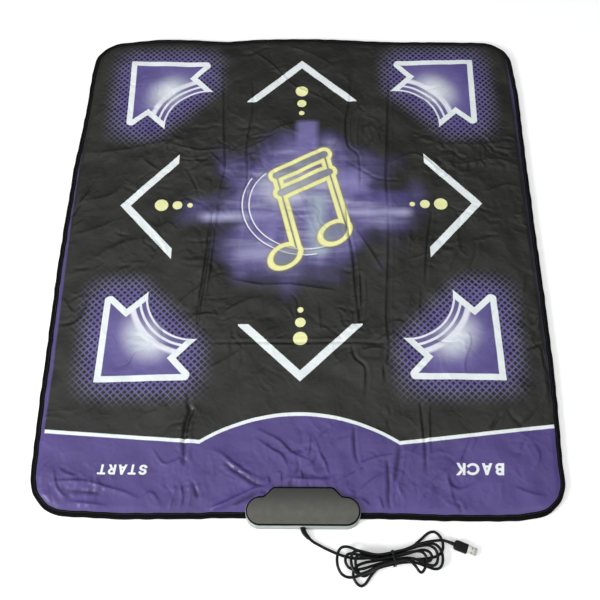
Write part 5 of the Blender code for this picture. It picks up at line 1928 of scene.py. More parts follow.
@dataclass(frozen=True)
class PrintedVinyl:
    """Calendered PVC film printed with a purple, black and white pattern.

    The film has a low even gloss. Its print shows fine crumples as streaks of light.
    """

    ground: str = "#0c0d0a"
    ground_pale: str = "#1f201a"
    white: str = "#e9f0f1"
    dot: str = "#eef0b0"
    purple: str = "#524689"
    strip: str = "#54448a"
    strip_dark: str = "#43356f"
    margin: str = "#4c4176"
    fill: str = "#473c78"
    glow: str = "#e0e8ee"
    stripe: str = "#5f5a8c"
    neon: str = "#efee9a"
    neon_core: str = "#f8f6c0"
    halftone_cloud: str = "#6b639b"
    halftone_rim: str = "#66637f"
    halftone_dot: str = "#0d0b1a"
    haze: str = "#4b4379"
    haze_heart: str = "#6b639c"
    fill_cloud: str = "#62569a"
    bloom: str = "#7f79ab"
    stripe_pale: str = "#e4e7f1"
    motif_fill: str = "#8f9c98"
    motif_halo: str = "#8a8648"
    motif_ring: str = "#eceff6"
    motif_shade: str = "#1d1b33"
    roughness: float = 0.41
    # How far the painted shade darkens the folds
    fold_shade_strength: float = 0.66
    crumple_height: float = 0.0018
    grain_height: float = 0.00007
    crease_depth: float = 0.00012

    def dress(self, name: str, layers: set[Layer]) -> bpy.types.Material:
        """Make the finish of one piece.

        Args:
            name: the material's name.
            layers: the parts of the print that can show on the piece.

        Returns:
            The material.
        """
        material, graph, shader = new_material(name)
        desk = PrintDesk(graph)
        # Slow changes in the ink's depth, 90 mm across
        cloud = graph.add(NOISE, desk.place, named={"Scale": 1 / 90, "Detail": 3.0})
        cloud = graph.add(RANGE, cloud, 0.36, 0.66, 0.0, 1.0)
        colour = graph.paint(self.ground, cloud, self.ground_pale)
        if Layer.HAZE in layers:
            colour = self.lay_haze(graph, desk, colour)
        if Layer.HALFTONE in layers:
            field_mask, dots, rim = desk.halftone()
            cloud = graph.add(NOISE, desk.place, named={"Scale": 1 / 45, "Detail": 1.0})
            ink = graph.paint(self.purple, cloud, self.halftone_cloud)
            ink = graph.paint(ink, rim, self.halftone_rim)
            ink = graph.paint(ink, dots, self.halftone_dot)
            colour = graph.paint(colour, field_mask, ink)
        if Layer.MARGIN in layers:
            # The left margin narrows and dulls away from the box
            narrow = graph.add(RANGE, desk.board_y, -250.0, 40.0, 395.5, 401.6)
            left = desk.inside(desk.sum(desk.x, narrow), 1.2)
            right = desk.inside(graph.add(MATH, 395.6, desk.x, operation="SUBTRACT"), 1.5)
            dull = graph.add(RANGE, desk.board_y, -100.0, 420.0, 1.0, 0.35)
            # On the right the film was cut close, so the colour barely shows
            faint = graph.add(RANGE, desk.board_y, 150.0, 330.0, 0.16, 0.55)
            sides = desk.most([desk.times(left, dull), desk.times(right, faint)])
            colour = graph.paint(colour, sides, self.margin)
        # White marks go on over most of the folds' painted shade
        marks: list[tuple[Any, str]] = []
        if Layer.STRIP in layers:
            colour, line = self.lay_strip(graph, desk, colour)
            marks.append((line, self.white))
        if Layer.ARROW in layers:
            colour, outline = self.lay_arrow(graph, desk, colour)
            marks.append((outline, self.white))
        if Layer.MOTIF in layers:
            colour = self.lay_motif(graph, desk, colour)
        for layer in (Layer.SIDE, Layer.END):
            if layer in layers:
                bar, dots = desk.chevron(layer)
                marks += [(bar, self.white), (dots, self.dot)]
        if Layer.START in layers:
            marks.append((desk.word("START", (-230.8, -380.3), 15.4, 15.5), self.white))
        if Layer.BACK in layers:
            marks.append((desk.word("BACK", (311.5, -375.4), 18.3, 16.4), self.white))
        # Painted shade: the colour darkens along the folds, in groove floors and beside ridges on
        # their side away from the side lamp
        fold = graph.add("ShaderNodeAttribute", out="Fac", attribute_name="painted_fold_shade")
        shade_in_folds = graph.add(RANGE, fold, 0.24, 0.95, 0.0, self.fold_shade_strength)
        colour = graph.add(VECTOR, colour, named={"Scale": desk.rest_of(shade_in_folds)},
                           operation="SCALE")
        for mask, ink in marks:
            colour = graph.paint(colour, mask, ink)
        # The white marks take a little of the painted fold shade too
        if marks:
            colour = graph.add(VECTOR, colour, named={"Scale": desk.rest_of(
                desk.times(shade_in_folds, 0.22))}, operation="SCALE")
        self.finish(graph, desk, shader, colour)
        return material

    def finish(self, graph: Graph, desk: PrintDesk, shader: Any, colour: Any) -> None:
        """Set the gloss and the fine crumple of the film.

        Args:
            graph: the material's graph.
            desk: the desk that draws the print.
            shader: the material's Principled shader.
            colour: its colour.
        """
        # Scuffs from shoes, some 25 mm across
        scuff = graph.add(NOISE, desk.place, named={"Scale": 1 / 25, "Detail": 4.0})
        rough = graph.add(RANGE, scuff, 0.3, 0.7, self.roughness - 0.05, self.roughness + 0.09)
        # Crumple of the film at 26 mm and its pressed grain at 2.5 mm, drawn coarser than
        # the real 0.5 mm so that it shows
        crumple = graph.add(NOISE, desk.place, named={"Scale": 1 / 26, "Detail": 2.0,
                                                      "Distortion": 0.3})
        sharp = graph.add(MATH, graph.add(MATH, crumple, 0.5, operation="SUBTRACT"),
                          operation="ABSOLUTE")
        grain = graph.add(NOISE, desk.place, named={"Scale": 1 / 2.5, "Detail": 1.0})
        height = graph.add(MATH, grain, self.grain_height, operation="MULTIPLY")
        for part, deep in ((sharp, self.crumple_height), (desk.creases, self.crease_depth)):
            height = graph.add(MATH, part, -deep, height, operation="MULTIPLY_ADD")
        bump = graph.add(BUMP, named={"Strength": 1.0, "Distance": 1.0, "Height": height})
        graph.fill(shader, {"Base Color": colour, "Roughness": rough, "IOR": 1.53,
                            "Normal": bump})

    def lay_haze(self, graph: Graph, desk: PrintDesk, colour: Any) -> Any:
        """Lay the blurred purple cloud in the middle of the mat, with its streaks and bars.

        Args:
            graph: the material's graph.
            desk: the desk that draws the print.
            colour: the colour so far.

        Returns:
            The new colour.
        """
        ragged = graph.add(NOISE, desk.place, named={"Scale": 1 / 75, "Detail": 1.0})
        ovals = [desk.times(desk.radius((cx, cy), desk.x, desk.y, ry / rx), 1 / ry)
                 for cx, cy, rx, ry in HAZE_OVALS]
        cloud = graph.add(MATH, desk.least(ovals), ragged, operation="ADD")
        cover = graph.add(RANGE, cloud, 1.66, 1.08, 0.0, 1.0, interpolation_type="SMOOTHSTEP")
        heart = graph.add(RANGE, cloud, 1.46, 0.80, 0.0, 1.0, interpolation_type="SMOOTHSTEP")
        ink = graph.paint(self.haze, heart, self.haze_heart)
        colour = graph.paint(colour, desk.times(cover, 0.92), ink)
        for stretch, low, high, strength, tone in HAZE_STREAKS:
            grain = graph.add(VECTOR, desk.place, (*stretch, 0.0), operation="MULTIPLY")
            grain = graph.add(NOISE, grain, named={"Scale": 1.0, "Detail": 2.0})
            mask = graph.add(RANGE, grain, low, high, 0.0, strength)
            colour = graph.paint(colour, desk.times(mask, heart), tone)
        wobble = graph.add(NOISE, desk.place, named={"Scale": 1 / 30, "Detail": 1.0})
        wobble = graph.add(RANGE, wobble, 0.25, 0.75, 0.80, 1.15)
        for x0, x1, y0, y1, tone, strength, soft in HAZE_BARS:
            across = desk.band(desk.x, x0 + soft * 0.5, x1 - soft * 0.5, soft)
            along = desk.band(desk.y, y0 + soft * 0.3, y1 - soft * 0.3, soft * 0.7)
            mask = desk.times(desk.times(across, along), desk.times(wobble, strength))
            colour = graph.paint(colour, mask, tone)
        return colour

    def lay_arrow(self, graph: Graph, desk: PrintDesk, colour: Any) -> tuple[Any, Any]:
        """Lay a corner arrow and give the mask of its outline.

        Args:
            graph: the material's graph.
            desk: the desk that draws the print.
            colour: the colour so far.

        Returns:
            The new colour and the outline's mask.
        """
        arrow = desk.arrow()
        cloud = graph.add(NOISE, desk.place, named={"Scale": 1 / 30, "Detail": 1.0})
        ink = graph.paint(self.fill, cloud, self.fill_cloud)
        ink = graph.paint(ink, arrow["bloom"], self.bloom)
        ink = graph.paint(ink, arrow["glow"], self.glow)
        colour = graph.paint(colour, arrow["fill"], ink)
        colour = graph.paint(colour, arrow["pale"], self.stripe_pale)
        colour = graph.paint(colour, arrow["dark"], self.stripe)
        return colour, arrow["outline"]

    def lay_motif(self, graph: Graph, desk: PrintDesk, colour: Any) -> Any:
        """Lay the neon notes and the sound rings.

        Args:
            graph: the material's graph.
            desk: the desk that draws the print.
            colour: the colour so far.

        Returns:
            The new colour.
        """
        motif = desk.motif()
        colour = graph.paint(colour, desk.times(motif["shade"], 0.35), self.motif_shade)
        colour = graph.paint(colour, motif["rings"], self.motif_ring)
        colour = graph.paint(colour, desk.times(motif["inside"], 0.45), self.motif_fill)
        colour = graph.paint(colour, desk.times(motif["halo"], 0.40), self.motif_halo)
        colour = graph.paint(colour, motif["tube"], self.neon)
        return graph.paint(colour, desk.times(motif["core"], 0.7), self.neon_core)

    def lay_strip(self, graph: Graph, desk: PrintDesk, colour: Any) -> tuple[Any, Any]:
        """Lay the purple strip and give the mask of its line.

        Args:
            graph: the material's graph.
            desk: the desk that draws the print.
            colour: the colour so far.

        Returns:
            The new colour and the line's mask.
        """
        purple, line = desk.strip()
        cloud = graph.add(NOISE, desk.place, named={"Scale": 1 / 60, "Detail": 3.0})
        ink = graph.paint(self.strip, cloud, self.strip_dark)
        return graph.paint(colour, purple, ink), line


@dataclass
class PrintedSheet:
    """The printed top sheet: three panels of the ground and four wedges for each field."""

    relief: SheetRelief
    vinyl: PrintedVinyl = PrintedVinyl()
    near_seam: float = -58.5
    far_seam: float = 222.0
    blend_height: float = 7.0

    def panel_layers(self) -> dict[str, tuple[tuple, tuple, set[Layer]]]:
        """The low corner, high corner and print of each panel."""
        base = {Layer.HAZE, Layer.HALFTONE, Layer.MARGIN}
        return {
            "near_panel": ((-ANYWHERE, -ANYWHERE), (ANYWHERE, self.near_seam),
                           base | {Layer.STRIP}),
            "middle_panel": ((-ANYWHERE, self.near_seam), (ANYWHERE, self.far_seam),
                             base | {Layer.MOTIF, Layer.SIDE}),
            "far_panel": ((-ANYWHERE, self.far_seam), (ANYWHERE, ANYWHERE), base),
        }

    def field_layers(self, kind: Field) -> set[Layer]:
        """The print of one kind of step field."""
        return {Field.CORNER: {Layer.HALFTONE, Layer.ARROW},
                Field.SIDE: {Layer.SIDE, Layer.HAZE}, Field.END: {Layer.END, Layer.HAZE},
                Field.START: {Layer.STRIP, Layer.START},
                Field.BACK: {Layer.STRIP, Layer.BACK}}[kind]

    def build(self) -> None:
        """Cut and dress every piece of the sheet."""
        cutter = SheetCutter(self.relief)
        fields = step_fields()
        taken = np.zeros_like(cutter.kept)
        for pad in fields:
            taken |= cutter.cells_between(pad.low, pad.high)
        for name, (low, high, layers) in self.panel_layers().items():
            cells = cutter.cells_between(low, high) & ~taken
            material = self.vinyl.dress(f"printed_vinyl_{name}", layers)
            piece, area = cutter.cut(f"cover_{name}", cutter.corners(cells), material)
            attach(piece, "mat")
            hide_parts("top_cover")
            lay_sheet(piece)
        finishes = {kind: self.vinyl.dress(f"printed_vinyl_{kind.value}",
                                           self.field_layers(kind)) for kind in Field}
        for pad in fields:
            self.build_field(cutter, pad, finishes[pad.kind])

    def build_field(self, cutter: SheetCutter, pad: StepField,
                    material: bpy.types.Material) -> None:
        """Cut the four wedges of a field, in place of its step pad.

        Args:
            cutter: what cuts the sheet.
            pad: the step field.
            material: its finish.
        """
        (x0, y0), (x1, y1) = pad.low, pad.high
        mx, my = (x0 + x1) / 2, (y0 + y1) / 2
        edges = (((mx, y0), (0, 1)), ((x1, my), (-1, 0)), ((mx, y1), (0, -1)), ((x0, my), (1, 0)))
        sides = ("near", "right", "far", "left")
        for side, faces, (start, way) in zip(sides, cutter.wedges(pad), edges):
            piece, area = cutter.cut(f"step_{pad.name}_{side}", faces, material)
            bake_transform(piece)
            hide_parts(f"step_pad_{pad.name}")
            lay_sheet(piece)


def lay_sheet(piece: bpy.types.Object) -> None:
    """Report a piece of the sheet: log its faces.

    Args:
        piece: the piece.
    """
    points = np.empty(len(piece.data.vertices) * 3)
    piece.data.vertices.foreach_get("co", points)
    LOG.info("%s: %d faces", piece.name, len(piece.data.polygons))


@dataclass(frozen=True)
class Finish:
    """A plain finish of one material: two close tones, its gloss and its surface grain."""

    name: str
    colour: str
    other: str
    roughness: float
    ior: float = 1.5
    metallic: float = 0.0
    tone_mm: float = 20.0
    grain_mm: float = 0.6
    grain_height: float = 0.00002
    rough_spread: float = 0.06
    shine: float = 0.5
    # Painted shade: black below this height, and a darker tint along Y
    painted_shade_below: float = 0.0
    painted_shade_along_y: tuple = ()

    def dress(self) -> bpy.types.Material:
        """Make the material.

        Returns:
            The material.
        """
        material, graph, shader = new_material(self.name)
        place = graph.add(COORDINATES, out="Object")
        tone = graph.add(NOISE, place, named={"Scale": 1000 / self.tone_mm, "Detail": 3.0})
        tone = graph.add(RANGE, tone, 0.3, 0.7, 0.0, 1.0)
        colour = graph.paint(self.colour, tone, self.other)
        # Painted shade: a darker tint between two places along Y
        if self.painted_shade_along_y:
            near, far, tint = self.painted_shade_along_y
            along = graph.add(SPLIT, place, out="Y")
            along = graph.add(RANGE, along, near, far, 0.0, 1.0, interpolation_type="SMOOTHSTEP")
            colour = graph.paint(colour, along, tint)
        # Painted shade: black below a height
        if self.painted_shade_below:
            height = graph.add(SPLIT, place, out="Z")
            skirt = graph.add(RANGE, height, self.painted_shade_below + 0.1 * MM,
                              self.painted_shade_below - 0.1 * MM, 0.0, 1.0)
            colour = graph.paint(colour, skirt, "#060607")
        grain = graph.add(NOISE, place, named={"Scale": 1000 / self.grain_mm, "Detail": 2.0})
        rough = graph.add(RANGE, grain, 0.25, 0.75, self.roughness - self.rough_spread,
                          self.roughness + self.rough_spread)
        bump = graph.add(BUMP, named={"Strength": 1.0, "Distance": self.grain_height,
                                      "Height": grain})
        graph.fill(shader, {"Base Color": colour, "Roughness": rough, "IOR": self.ior,
                            "Metallic": self.metallic, "Specular IOR Level": self.shine,
                            "Normal": bump})
        return material


# Moulded ABS with a spark-eroded texture, drawn grey, dull, and a little paler where it is rubbed:
# the grey top is painted reflection of the overhead light on black plastic, the skirt below 15.2 mm
# is painted black as shade, and painted shade darkens it towards the back
LID_ABS = Finish("abs_spark_textured_lid", "#5b5c57", "#65645e", 0.6, tone_mm=14,
                 grain_mm=1.4, grain_height=0.0004, painted_shade_below=15.2 * MM, shine=0.14,
                 painted_shade_along_y=(-454 * MM, -416 * MM, "#40403e"))
# The same ABS left smoother on the base, so that it picks up the floor; its pale colour is painted
# reflection of the white floor
BASE_ABS = Finish("abs_satin_base", "#a2aaa6", "#adb5b1", 0.40, tone_mm=24, grain_mm=0.8)
# Flexible PVC, extruded: black with a soft continuous gloss
CORD_PVC = Finish("pvc_extruded_cord_jacket", "#040406", "#08080a", 0.30, tone_mm=40,
                  grain_mm=1.5, shine=0.24)
# Flexible PVC, moulded: black and duller than the cord
MOULDED_PVC = Finish("pvc_moulded_black", "#050507", "#0a0a0c", 0.42, tone_mm=12, shine=0.24)
# Paper and wire tie with a plastic skin: black with creased light edges
TIE_SKIN = Finish("pe_coated_wire_tie", "#0b0b0d", "#131315", 0.5, tone_mm=4, shine=0.3)
# Nickel-plated steel, drawn: bright, with faint lines
PLATED_STEEL = Finish("nickel_plated_drawn_steel", "#ecece9", "#dfdfdc", 0.34, metallic=1.0,
                      tone_mm=6, grain_mm=0.4)
# Zinc-plated steel of small screws
SCREW_STEEL = Finish("zinc_plated_steel", "#9c9ca0", "#83838a", 0.34, metallic=1.0, tone_mm=3)
# Gold flash on the contacts
GOLD_FLASH = Finish("gold_flashed_copper", "#e2bf6e", "#d6ae58", 0.25, metallic=1.0, tone_mm=3)
# White nylon insulator
WHITE_NYLON = Finish("nylon_white_insulator", "#efefea", "#e5e5df", 0.45, tone_mm=5)
# Black epoxy of the chip, and its crystal's can and capacitor's sleeve
CHIP_EPOXY = Finish("epoxy_black_package", "#1b1b1d", "#242426", 0.6, tone_mm=3)
CRYSTAL_CAN = Finish("tinned_steel_can", "#c4c4c2", "#b2b2b0", 0.3, metallic=1.0, tone_mm=4)
SLEEVE = Finish("pvc_shrink_sleeve", "#20294a", "#263158", 0.35, tone_mm=4)
# Polyester films: clear to milky, with a silky gloss
CLEAR_FILM = Finish("pet_contact_film", "#c9cbc6", "#bfc1bc", 0.3, ior=1.57, tone_mm=60)
# Carbon ink patch, screen printed
CARBON = Finish("carbon_ink_on_film", "#202022", "#2a2a2c", 0.62, tone_mm=15)
# Open-cell polyurethane foam, greyish white with fine cells
FOAM = Finish("pu_foam_sheet", "#b9b6a8", "#c9c6b8", 0.9, tone_mm=8, grain_mm=0.7,
              grain_height=0.0002)
BLACK_RUBBER = Finish("silicone_black_strip", "#1a1a1a", "#212121", 0.6, tone_mm=6)


@dataclass(frozen=True)
class BoardFinish:
    """Glass-epoxy board: green lacquer over fine copper tracks."""

    name: str = "fr4_green_lacquer"

    def dress(self) -> bpy.types.Material:
        """Make the material.

        Returns:
            The material.
        """
        material, graph, shader = new_material(self.name)
        place = graph.add(COORDINATES, out="Object")
        # Tracks 0.4 mm wide every 1.6 mm, in runs that a slow noise bends
        bend = graph.add(NOISE, place, named={"Scale": 60.0, "Detail": 0.0})
        aside = graph.add(SPLIT, place, out="Y")
        run = graph.add(MATH, aside, 1000.0, graph.add(MATH, bend, 6.0, operation="MULTIPLY"),
                        operation="MULTIPLY_ADD")
        wave = graph.add(MATH, run, 0.8, operation="PINGPONG")
        track = graph.add(RANGE, wave, 0.28, 0.20, 0.0, 1.0)
        colour = graph.paint("#14512f", track, "#2a7443")
        graph.fill(shader, {"Base Color": colour, "Roughness": 0.3})
        return material


@dataclass(frozen=True)
class WovenTape:
    """Polyester binding tape, woven in a fine twill: black with a broken dull sheen."""

    name: str = "polyester_woven_tape"
    colour: str = "#050506"
    other: str = "#0c0c0e"
    thread_mm: float = 1.3

    def dress(self) -> bpy.types.Material:
        """Make the material; the real thread is 0.4 mm, drawn coarser so that it shows.

        Returns:
            The material.
        """
        material, graph, shader = new_material(self.name)
        strip = graph.add("ShaderNodeUVMap", uv_map="weave")
        along = graph.add(SPLIT, strip, out="X")
        across = graph.add(SPLIT, strip, out="Y")
        half = self.thread_mm / 2
        slant = graph.add(MATH, along, across, operation="ADD")
        warp = graph.add(MATH, slant, half, operation="PINGPONG")
        weft = graph.add(MATH, across, half, operation="PINGPONG")
        height = graph.add(MATH, warp, weft, operation="MAXIMUM")
        fuzz = graph.add(NOISE, strip, named={"Scale": 0.9, "Detail": 3.0})
        tone = graph.add(RANGE, fuzz, 0.35, 0.7, 0.0, 1.0)
        bump = graph.add(BUMP, named={"Strength": 0.7, "Distance": 0.0002, "Height": height})
        graph.fill(shader, {"Base Color": graph.paint(self.colour, tone, self.other),
                            "Roughness": 0.85, "IOR": 1.45, "Specular IOR Level": 0.14,
                            "Normal": bump})
        return material


@dataclass(frozen=True)
class NonSlipVinyl:
    """Embossed PVC backing: black, dull, with round studs 5 mm apart that grip the floor."""

    name: str = "pvc_embossed_backing"
    pitch_mm: float = 5.0

    def dress(self) -> bpy.types.Material:
        """Make the material.

        Returns:
            The material.
        """
        material, graph, shader = new_material(self.name)
        desk = PrintDesk(graph)
        half = self.pitch_mm / 2
        across = [graph.add(MATH, desk.line(SLANT, along, 0, desk.x, desk.y), half,
                            operation="PINGPONG") for along in (SLANT, -SLANT)]
        here = graph.add(VECTOR, graph.add(JOINED, *across), out=1, operation="LENGTH")
        stud = graph.add(RANGE, here, 1.5, 0.9, 0.0, 1.0, interpolation_type="SMOOTHSTEP")
        bump = graph.add(BUMP, named={"Strength": 1.0, "Distance": 0.0004, "Height": stud})
        graph.fill(shader, {"Base Color": graph.paint("#1c1c1e", stud, "#2a2a2c"),
                            "Roughness": 0.7, "Normal": bump})
        return material


@dataclass
class BackingRelief(SheetRelief):
    """The height of the non-slip backing's top: flat, and over the band's lower lip."""

    rest: float = 0.78
    bound: float = 1.36

    def shape(self) -> np.ndarray:
        """The height on the grid."""
        return self.pin_to_band(self.rest + 0.05 * self.waves(60, 120))


@dataclass
class Backing:
    """The non-slip backing under the mat."""

    def build(self) -> None:
        """Cut and dress it."""
        cutter = SheetCutter(BackingRelief(), step=5.0, column_keys=(-410.0, 410.0),
                             line_keys=(-459.0, 471.0))
        cells = cutter.cells_between((-ANYWHERE, -ANYWHERE), (ANYWHERE, ANYWHERE))
        piece, area = cutter.cut("backing_sheet", cutter.corners(cells), NonSlipVinyl().dress())
        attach(piece, "mat")
        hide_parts("bottom_cover")
        lay_sheet(piece)


@dataclass
class EdgeBand:
    """The binding tape folded over the mat's edge and its two rows of stitches."""

    plan: Plan = PLAN
    width: float = 8.4 * MM
    wall: float = 0.62 * MM
    top: float = 7.9 * MM
    step: float = 3.0 * MM
    stitch_inset: float = 6.4 * MM
    pitch: float = 4.2 * MM
    stitch: float = 3.0 * MM
    thread: float = 0.34 * MM
    gap_half: float = 85.4 * MM
    gap_clear: float = 0.35 * MM
    sway: float = 0.24 * MM
    lift: float = 0.10 * MM
    calm_run: float = 40 * MM
    lift_inset: float = 4 * MM
    turns: tuple = (9, 17, 31, 53, 84, 120)
    seed: int = 5

    def stations(self) -> list[tuple[Vector, Vector, float]]:
        """Places round the mat's edge from one side of the box to the other.

        Returns:
            For each place the point on the edge, the outward direction and the run so far.
        """
        half_x, half_y = self.plan.width / 2, self.plan.depth / 2
        r, my = self.plan.corner, self.plan.middle_y
        near, far = my - half_y, my + half_y
        gap = self.gap_half
        marks: list[tuple[Vector, Vector]] = []

        def straight(a: Point, b: Point, out: Point) -> None:
            """Add places along a straight edge.

            Args:
                a: where it starts.
                b: where it ends.
                out: the way out of the mat.
            """
            count = max(1, round(math.dist(a, b) / self.step))
            for i in range(count):
                t = i / count
                marks.append((Vector((a[0] + (b[0] - a[0]) * t, a[1] + (b[1] - a[1]) * t, 0)),
                              Vector((*out, 0))))

        def corner(cx: float, cy: float, start: float) -> None:
            """Add places round a corner.

            Args:
                cx: first coordinate of its middle.
                cy: second coordinate of its middle.
                start: the direction it starts in, in degrees.
            """
            count = round(r * math.pi / 2 / self.step)
            for i in range(count):
                a = math.radians(start + 90 * i / count)
                out = Vector((math.cos(a), math.sin(a), 0))
                marks.append((Vector((cx, cy, 0)) + out * r, out))

        straight((self.plan.box_x + gap, near), (half_x - r, near), (0, -1))
        corner(half_x - r, near + r, -90)
        straight((half_x, near + r), (half_x, far - r), (1, 0))
        corner(half_x - r, far - r, 0)
        straight((half_x - r, far), (-half_x + r, far), (0, 1))
        corner(-half_x + r, far - r, 90)
        straight((-half_x, far - r), (-half_x, near + r), (-1, 0))
        corner(-half_x + r, near + r, 180)
        straight((-half_x + r, near), (self.plan.box_x - gap, near), (0, -1))
        marks.append((Vector((self.plan.box_x - gap, near, 0)), Vector((0, -1, 0))))
        run, found = 0.0, []
        for i, (place, out) in enumerate(marks):
            run += (place - marks[i - 1][0]).length if i else 0.0
            found.append((place, out, run))
        return found

    def profile(self) -> list[Point]:
        """The tape's section as (inset, height) pairs, closed, outer face first.

        Returns:
            The pairs.
        """
        t, w, h = (size / MM for size in (self.wall, self.width, self.top))
        nose = 2.6
        # A shallow channel underneath takes the lower row of stitches
        outer = [(w, 0.3), (6.4, 0.3), (5.2, 0.25), (4.6, 0.0), (nose, 0.0)]
        for turn in (22, 45, 68, 90):
            a = math.radians(turn)
            outer.append((nose * (1 - math.sin(a)), nose * 0.9 * (1 - math.cos(a))))
        for turn in (0, 22, 45, 68, 90):
            a = math.radians(turn)
            outer.append((nose * (1 - math.cos(a)), h - nose + nose * math.sin(a)))
        outer += [(4.2, h + 0.05), (5.8, h - 0.02), (6.4, h - 0.12), (7.0, h - 0.02),
                  (w - 0.25, h), (w, h - 0.25)]
        inner = [(w, h - t), (6.4, h - t - 0.1), (nose, h - t), (t + 0.5, h - nose * 0.75),
                 (t, h - nose), (t, nose), (t + 0.5, nose * 0.65), (nose, t), (w, t)]
        return [(inset * MM, z * MM) for inset, z in outer + inner]

    def build(self) -> None:
        """Sweep the tape and sew it."""
        stations = self.stations()
        profile = self.profile()
        rng = np.random.default_rng(self.seed)
        total = stations[-1][2]
        waves = [(k, rng.uniform(0, 2 * math.pi), rng.uniform(0.5, 1.0)) for k in self.turns]
        rings, runs = [], []
        for place, out, run in stations:
            calm = min(run, total - run, self.calm_run) / self.calm_run
            swing = sum(s * math.sin(2 * math.pi * k * run / total + p) for k, p, s in waves)
            lift = sum(s * math.cos(2 * math.pi * k * run / total + 2 * p) for k, p, s in waves)
            aside = self.sway * swing * calm
            ring = []
            for inset, z in profile:
                point = place - out * (inset - aside)
                high = z / self.top
                point.z = z + self.lift * lift * calm * high * min(1.0, inset / self.lift_inset)
                ring.append(point)
            laid = RIM.settle(np.array([tuple(p) for p in ring]) / MM) * MM
            rings.append([Vector(p) for p in laid])
            runs.append(run)
        # Both ends of the tape follow the round ends of the box
        flat = (self.plan.box_width - self.plan.box_depth) / 2
        for end, sign in ((0, 1), (-1, -1)):
            for i, (inset, _) in enumerate(profile):
                v = self.plan.overhang + inset
                r = self.plan.box_depth / 2 + self.gap_clear
                reach = math.sqrt(max(r * r - (v - self.plan.box_depth / 2) ** 2, 0.0))
                rings[end][i].x = self.plan.box_x + sign * (flat + reach)
        piece = new_piece("edge_tape", loft(rings), WovenTape().dress(), 50.0)
        self.map_weave(piece, profile, runs)
        declare(piece, "edge_binding", "edge_binding")
        self.sew(rings, profile)

    def map_weave(self, piece: bpy.types.Object, profile: list[Point],
                  runs: list[float]) -> None:
        """Give the tape a map in mm: along it, and round its section.

        Args:
            piece: the tape.
            profile: the tape's section.
            runs: the run to each section, in metres.
        """
        count = len(profile)
        round_it = [0.0]
        for (a, b), (c, d) in zip(profile, profile[1:]):
            round_it.append(round_it[-1] + math.hypot(c - a, d - b))
        layer = piece.data.uv_layers.new(name="weave")
        for polygon in piece.data.polygons:
            places = [piece.data.loops[k].vertex_index for k in polygon.loop_indices]
            wraps = {p % count for p in places} >= {0, count - 1}
            for k, vertex in zip(polygon.loop_indices, places):
                across = round_it[vertex % count]
                if wraps and vertex % count == 0 and len(places) == 4:
                    across = round_it[-1] + 1 * MM
                layer.data[k].uv = (runs[vertex // count] / MM, across / MM)

    def sew(self, rings: list, profile: list[Point]) -> None:
        """Lay one row of stitches on top of the tape and one beneath it.

        Args:
            rings: the tape's sections round the mat.
            profile: the tape's section.
        """
        path = bpy.data.meshes.new("stitch_path")
        points: list[Vector] = []
        edges: list[tuple[int, int]] = []
        for height, lift in ((self.top - 0.12 * MM, 0.0), (0.3 * MM, 0.06 * MM)):
            first = len(points)
            column = min(range(len(profile)), key=lambda i: abs(profile[i][0] - self.stitch_inset)
                         + abs(profile[i][1] - height))
            points += [ring[column] + Vector((0, 0, lift)) for ring in rings[2:-2]]
            edges += [(i, i + 1) for i in range(first, len(points) - 1)]
        path.from_pydata([tuple(p) for p in points], edges, [])
        holder = put("stitch_path", path)
        thread = Finish("polyester_sewing_thread", "#202125", "#2b2c31", 0.6, tone_mm=2)
        tree = StitchTree().build()
        repeat = holder.modifiers.new("stitches", "NODES")
        repeat.node_group = tree
        inputs = {item.name: item.identifier for item in tree.interface.items_tree
                  if getattr(item, "in_out", "") == "INPUT"}
        for name, value in (("Pitch", self.pitch), ("Length", self.stitch),
                            ("Thread", self.thread), ("Finish", thread.dress())):
            repeat[inputs[name]] = value
        mesh = evaluated(holder)
        bpy.data.objects.remove(holder)
        declare(put("edge_stitches", mesh), "edge_binding")


@dataclass
class StitchTree:
    """Geometry nodes that lay short rods along each line of a path."""

    name: str = "stitches_along_line"

    def build(self) -> bpy.types.NodeTree:
        """Make the tree, with named inputs for its sizes.

        Returns:
            The tree.
        """
        tree = bpy.data.node_groups.new(self.name, "GeometryNodeTree")
        face = tree.interface
        face.new_socket("Geometry", in_out="INPUT", socket_type="NodeSocketGeometry")
        for name, value in (("Pitch", 4 * MM), ("Length", 3 * MM), ("Thread", 0.3 * MM)):
            socket = face.new_socket(name, in_out="INPUT", socket_type="NodeSocketFloat")
            socket.default_value = value
        face.new_socket("Finish", in_out="INPUT", socket_type="NodeSocketMaterial")
        face.new_socket("Geometry", in_out="OUTPUT", socket_type="NodeSocketGeometry")
        graph = Graph(tree)
        start = tree.nodes.new("NodeGroupInput").outputs
        curve = graph.add("GeometryNodeMeshToCurve", start["Geometry"])
        sample = graph.add("GeometryNodeCurveToPoints", curve, named={"Length": start["Pitch"]},
                           mode="LENGTH")
        points = sample.node.outputs
        rod = graph.add("GeometryNodeMeshCylinder", named={
            "Vertices": 6, "Radius": start["Thread"], "Depth": start["Length"]},
            fill_type="TRIANGLE_FAN")
        turned = graph.add("FunctionNodeAlignRotationToVector", named={
            "Vector": points["Tangent"]}, axis="Z")
        placed = graph.add("GeometryNodeInstanceOnPoints", points["Points"], named={
            "Instance": rod, "Rotation": turned})
        real = graph.add("GeometryNodeRealizeInstances", placed)
        done = graph.add("GeometryNodeSetMaterial", real, named={"Material": start["Finish"]})
        graph.fill(tree.nodes.new("NodeGroupOutput"), {0: done})
        return tree


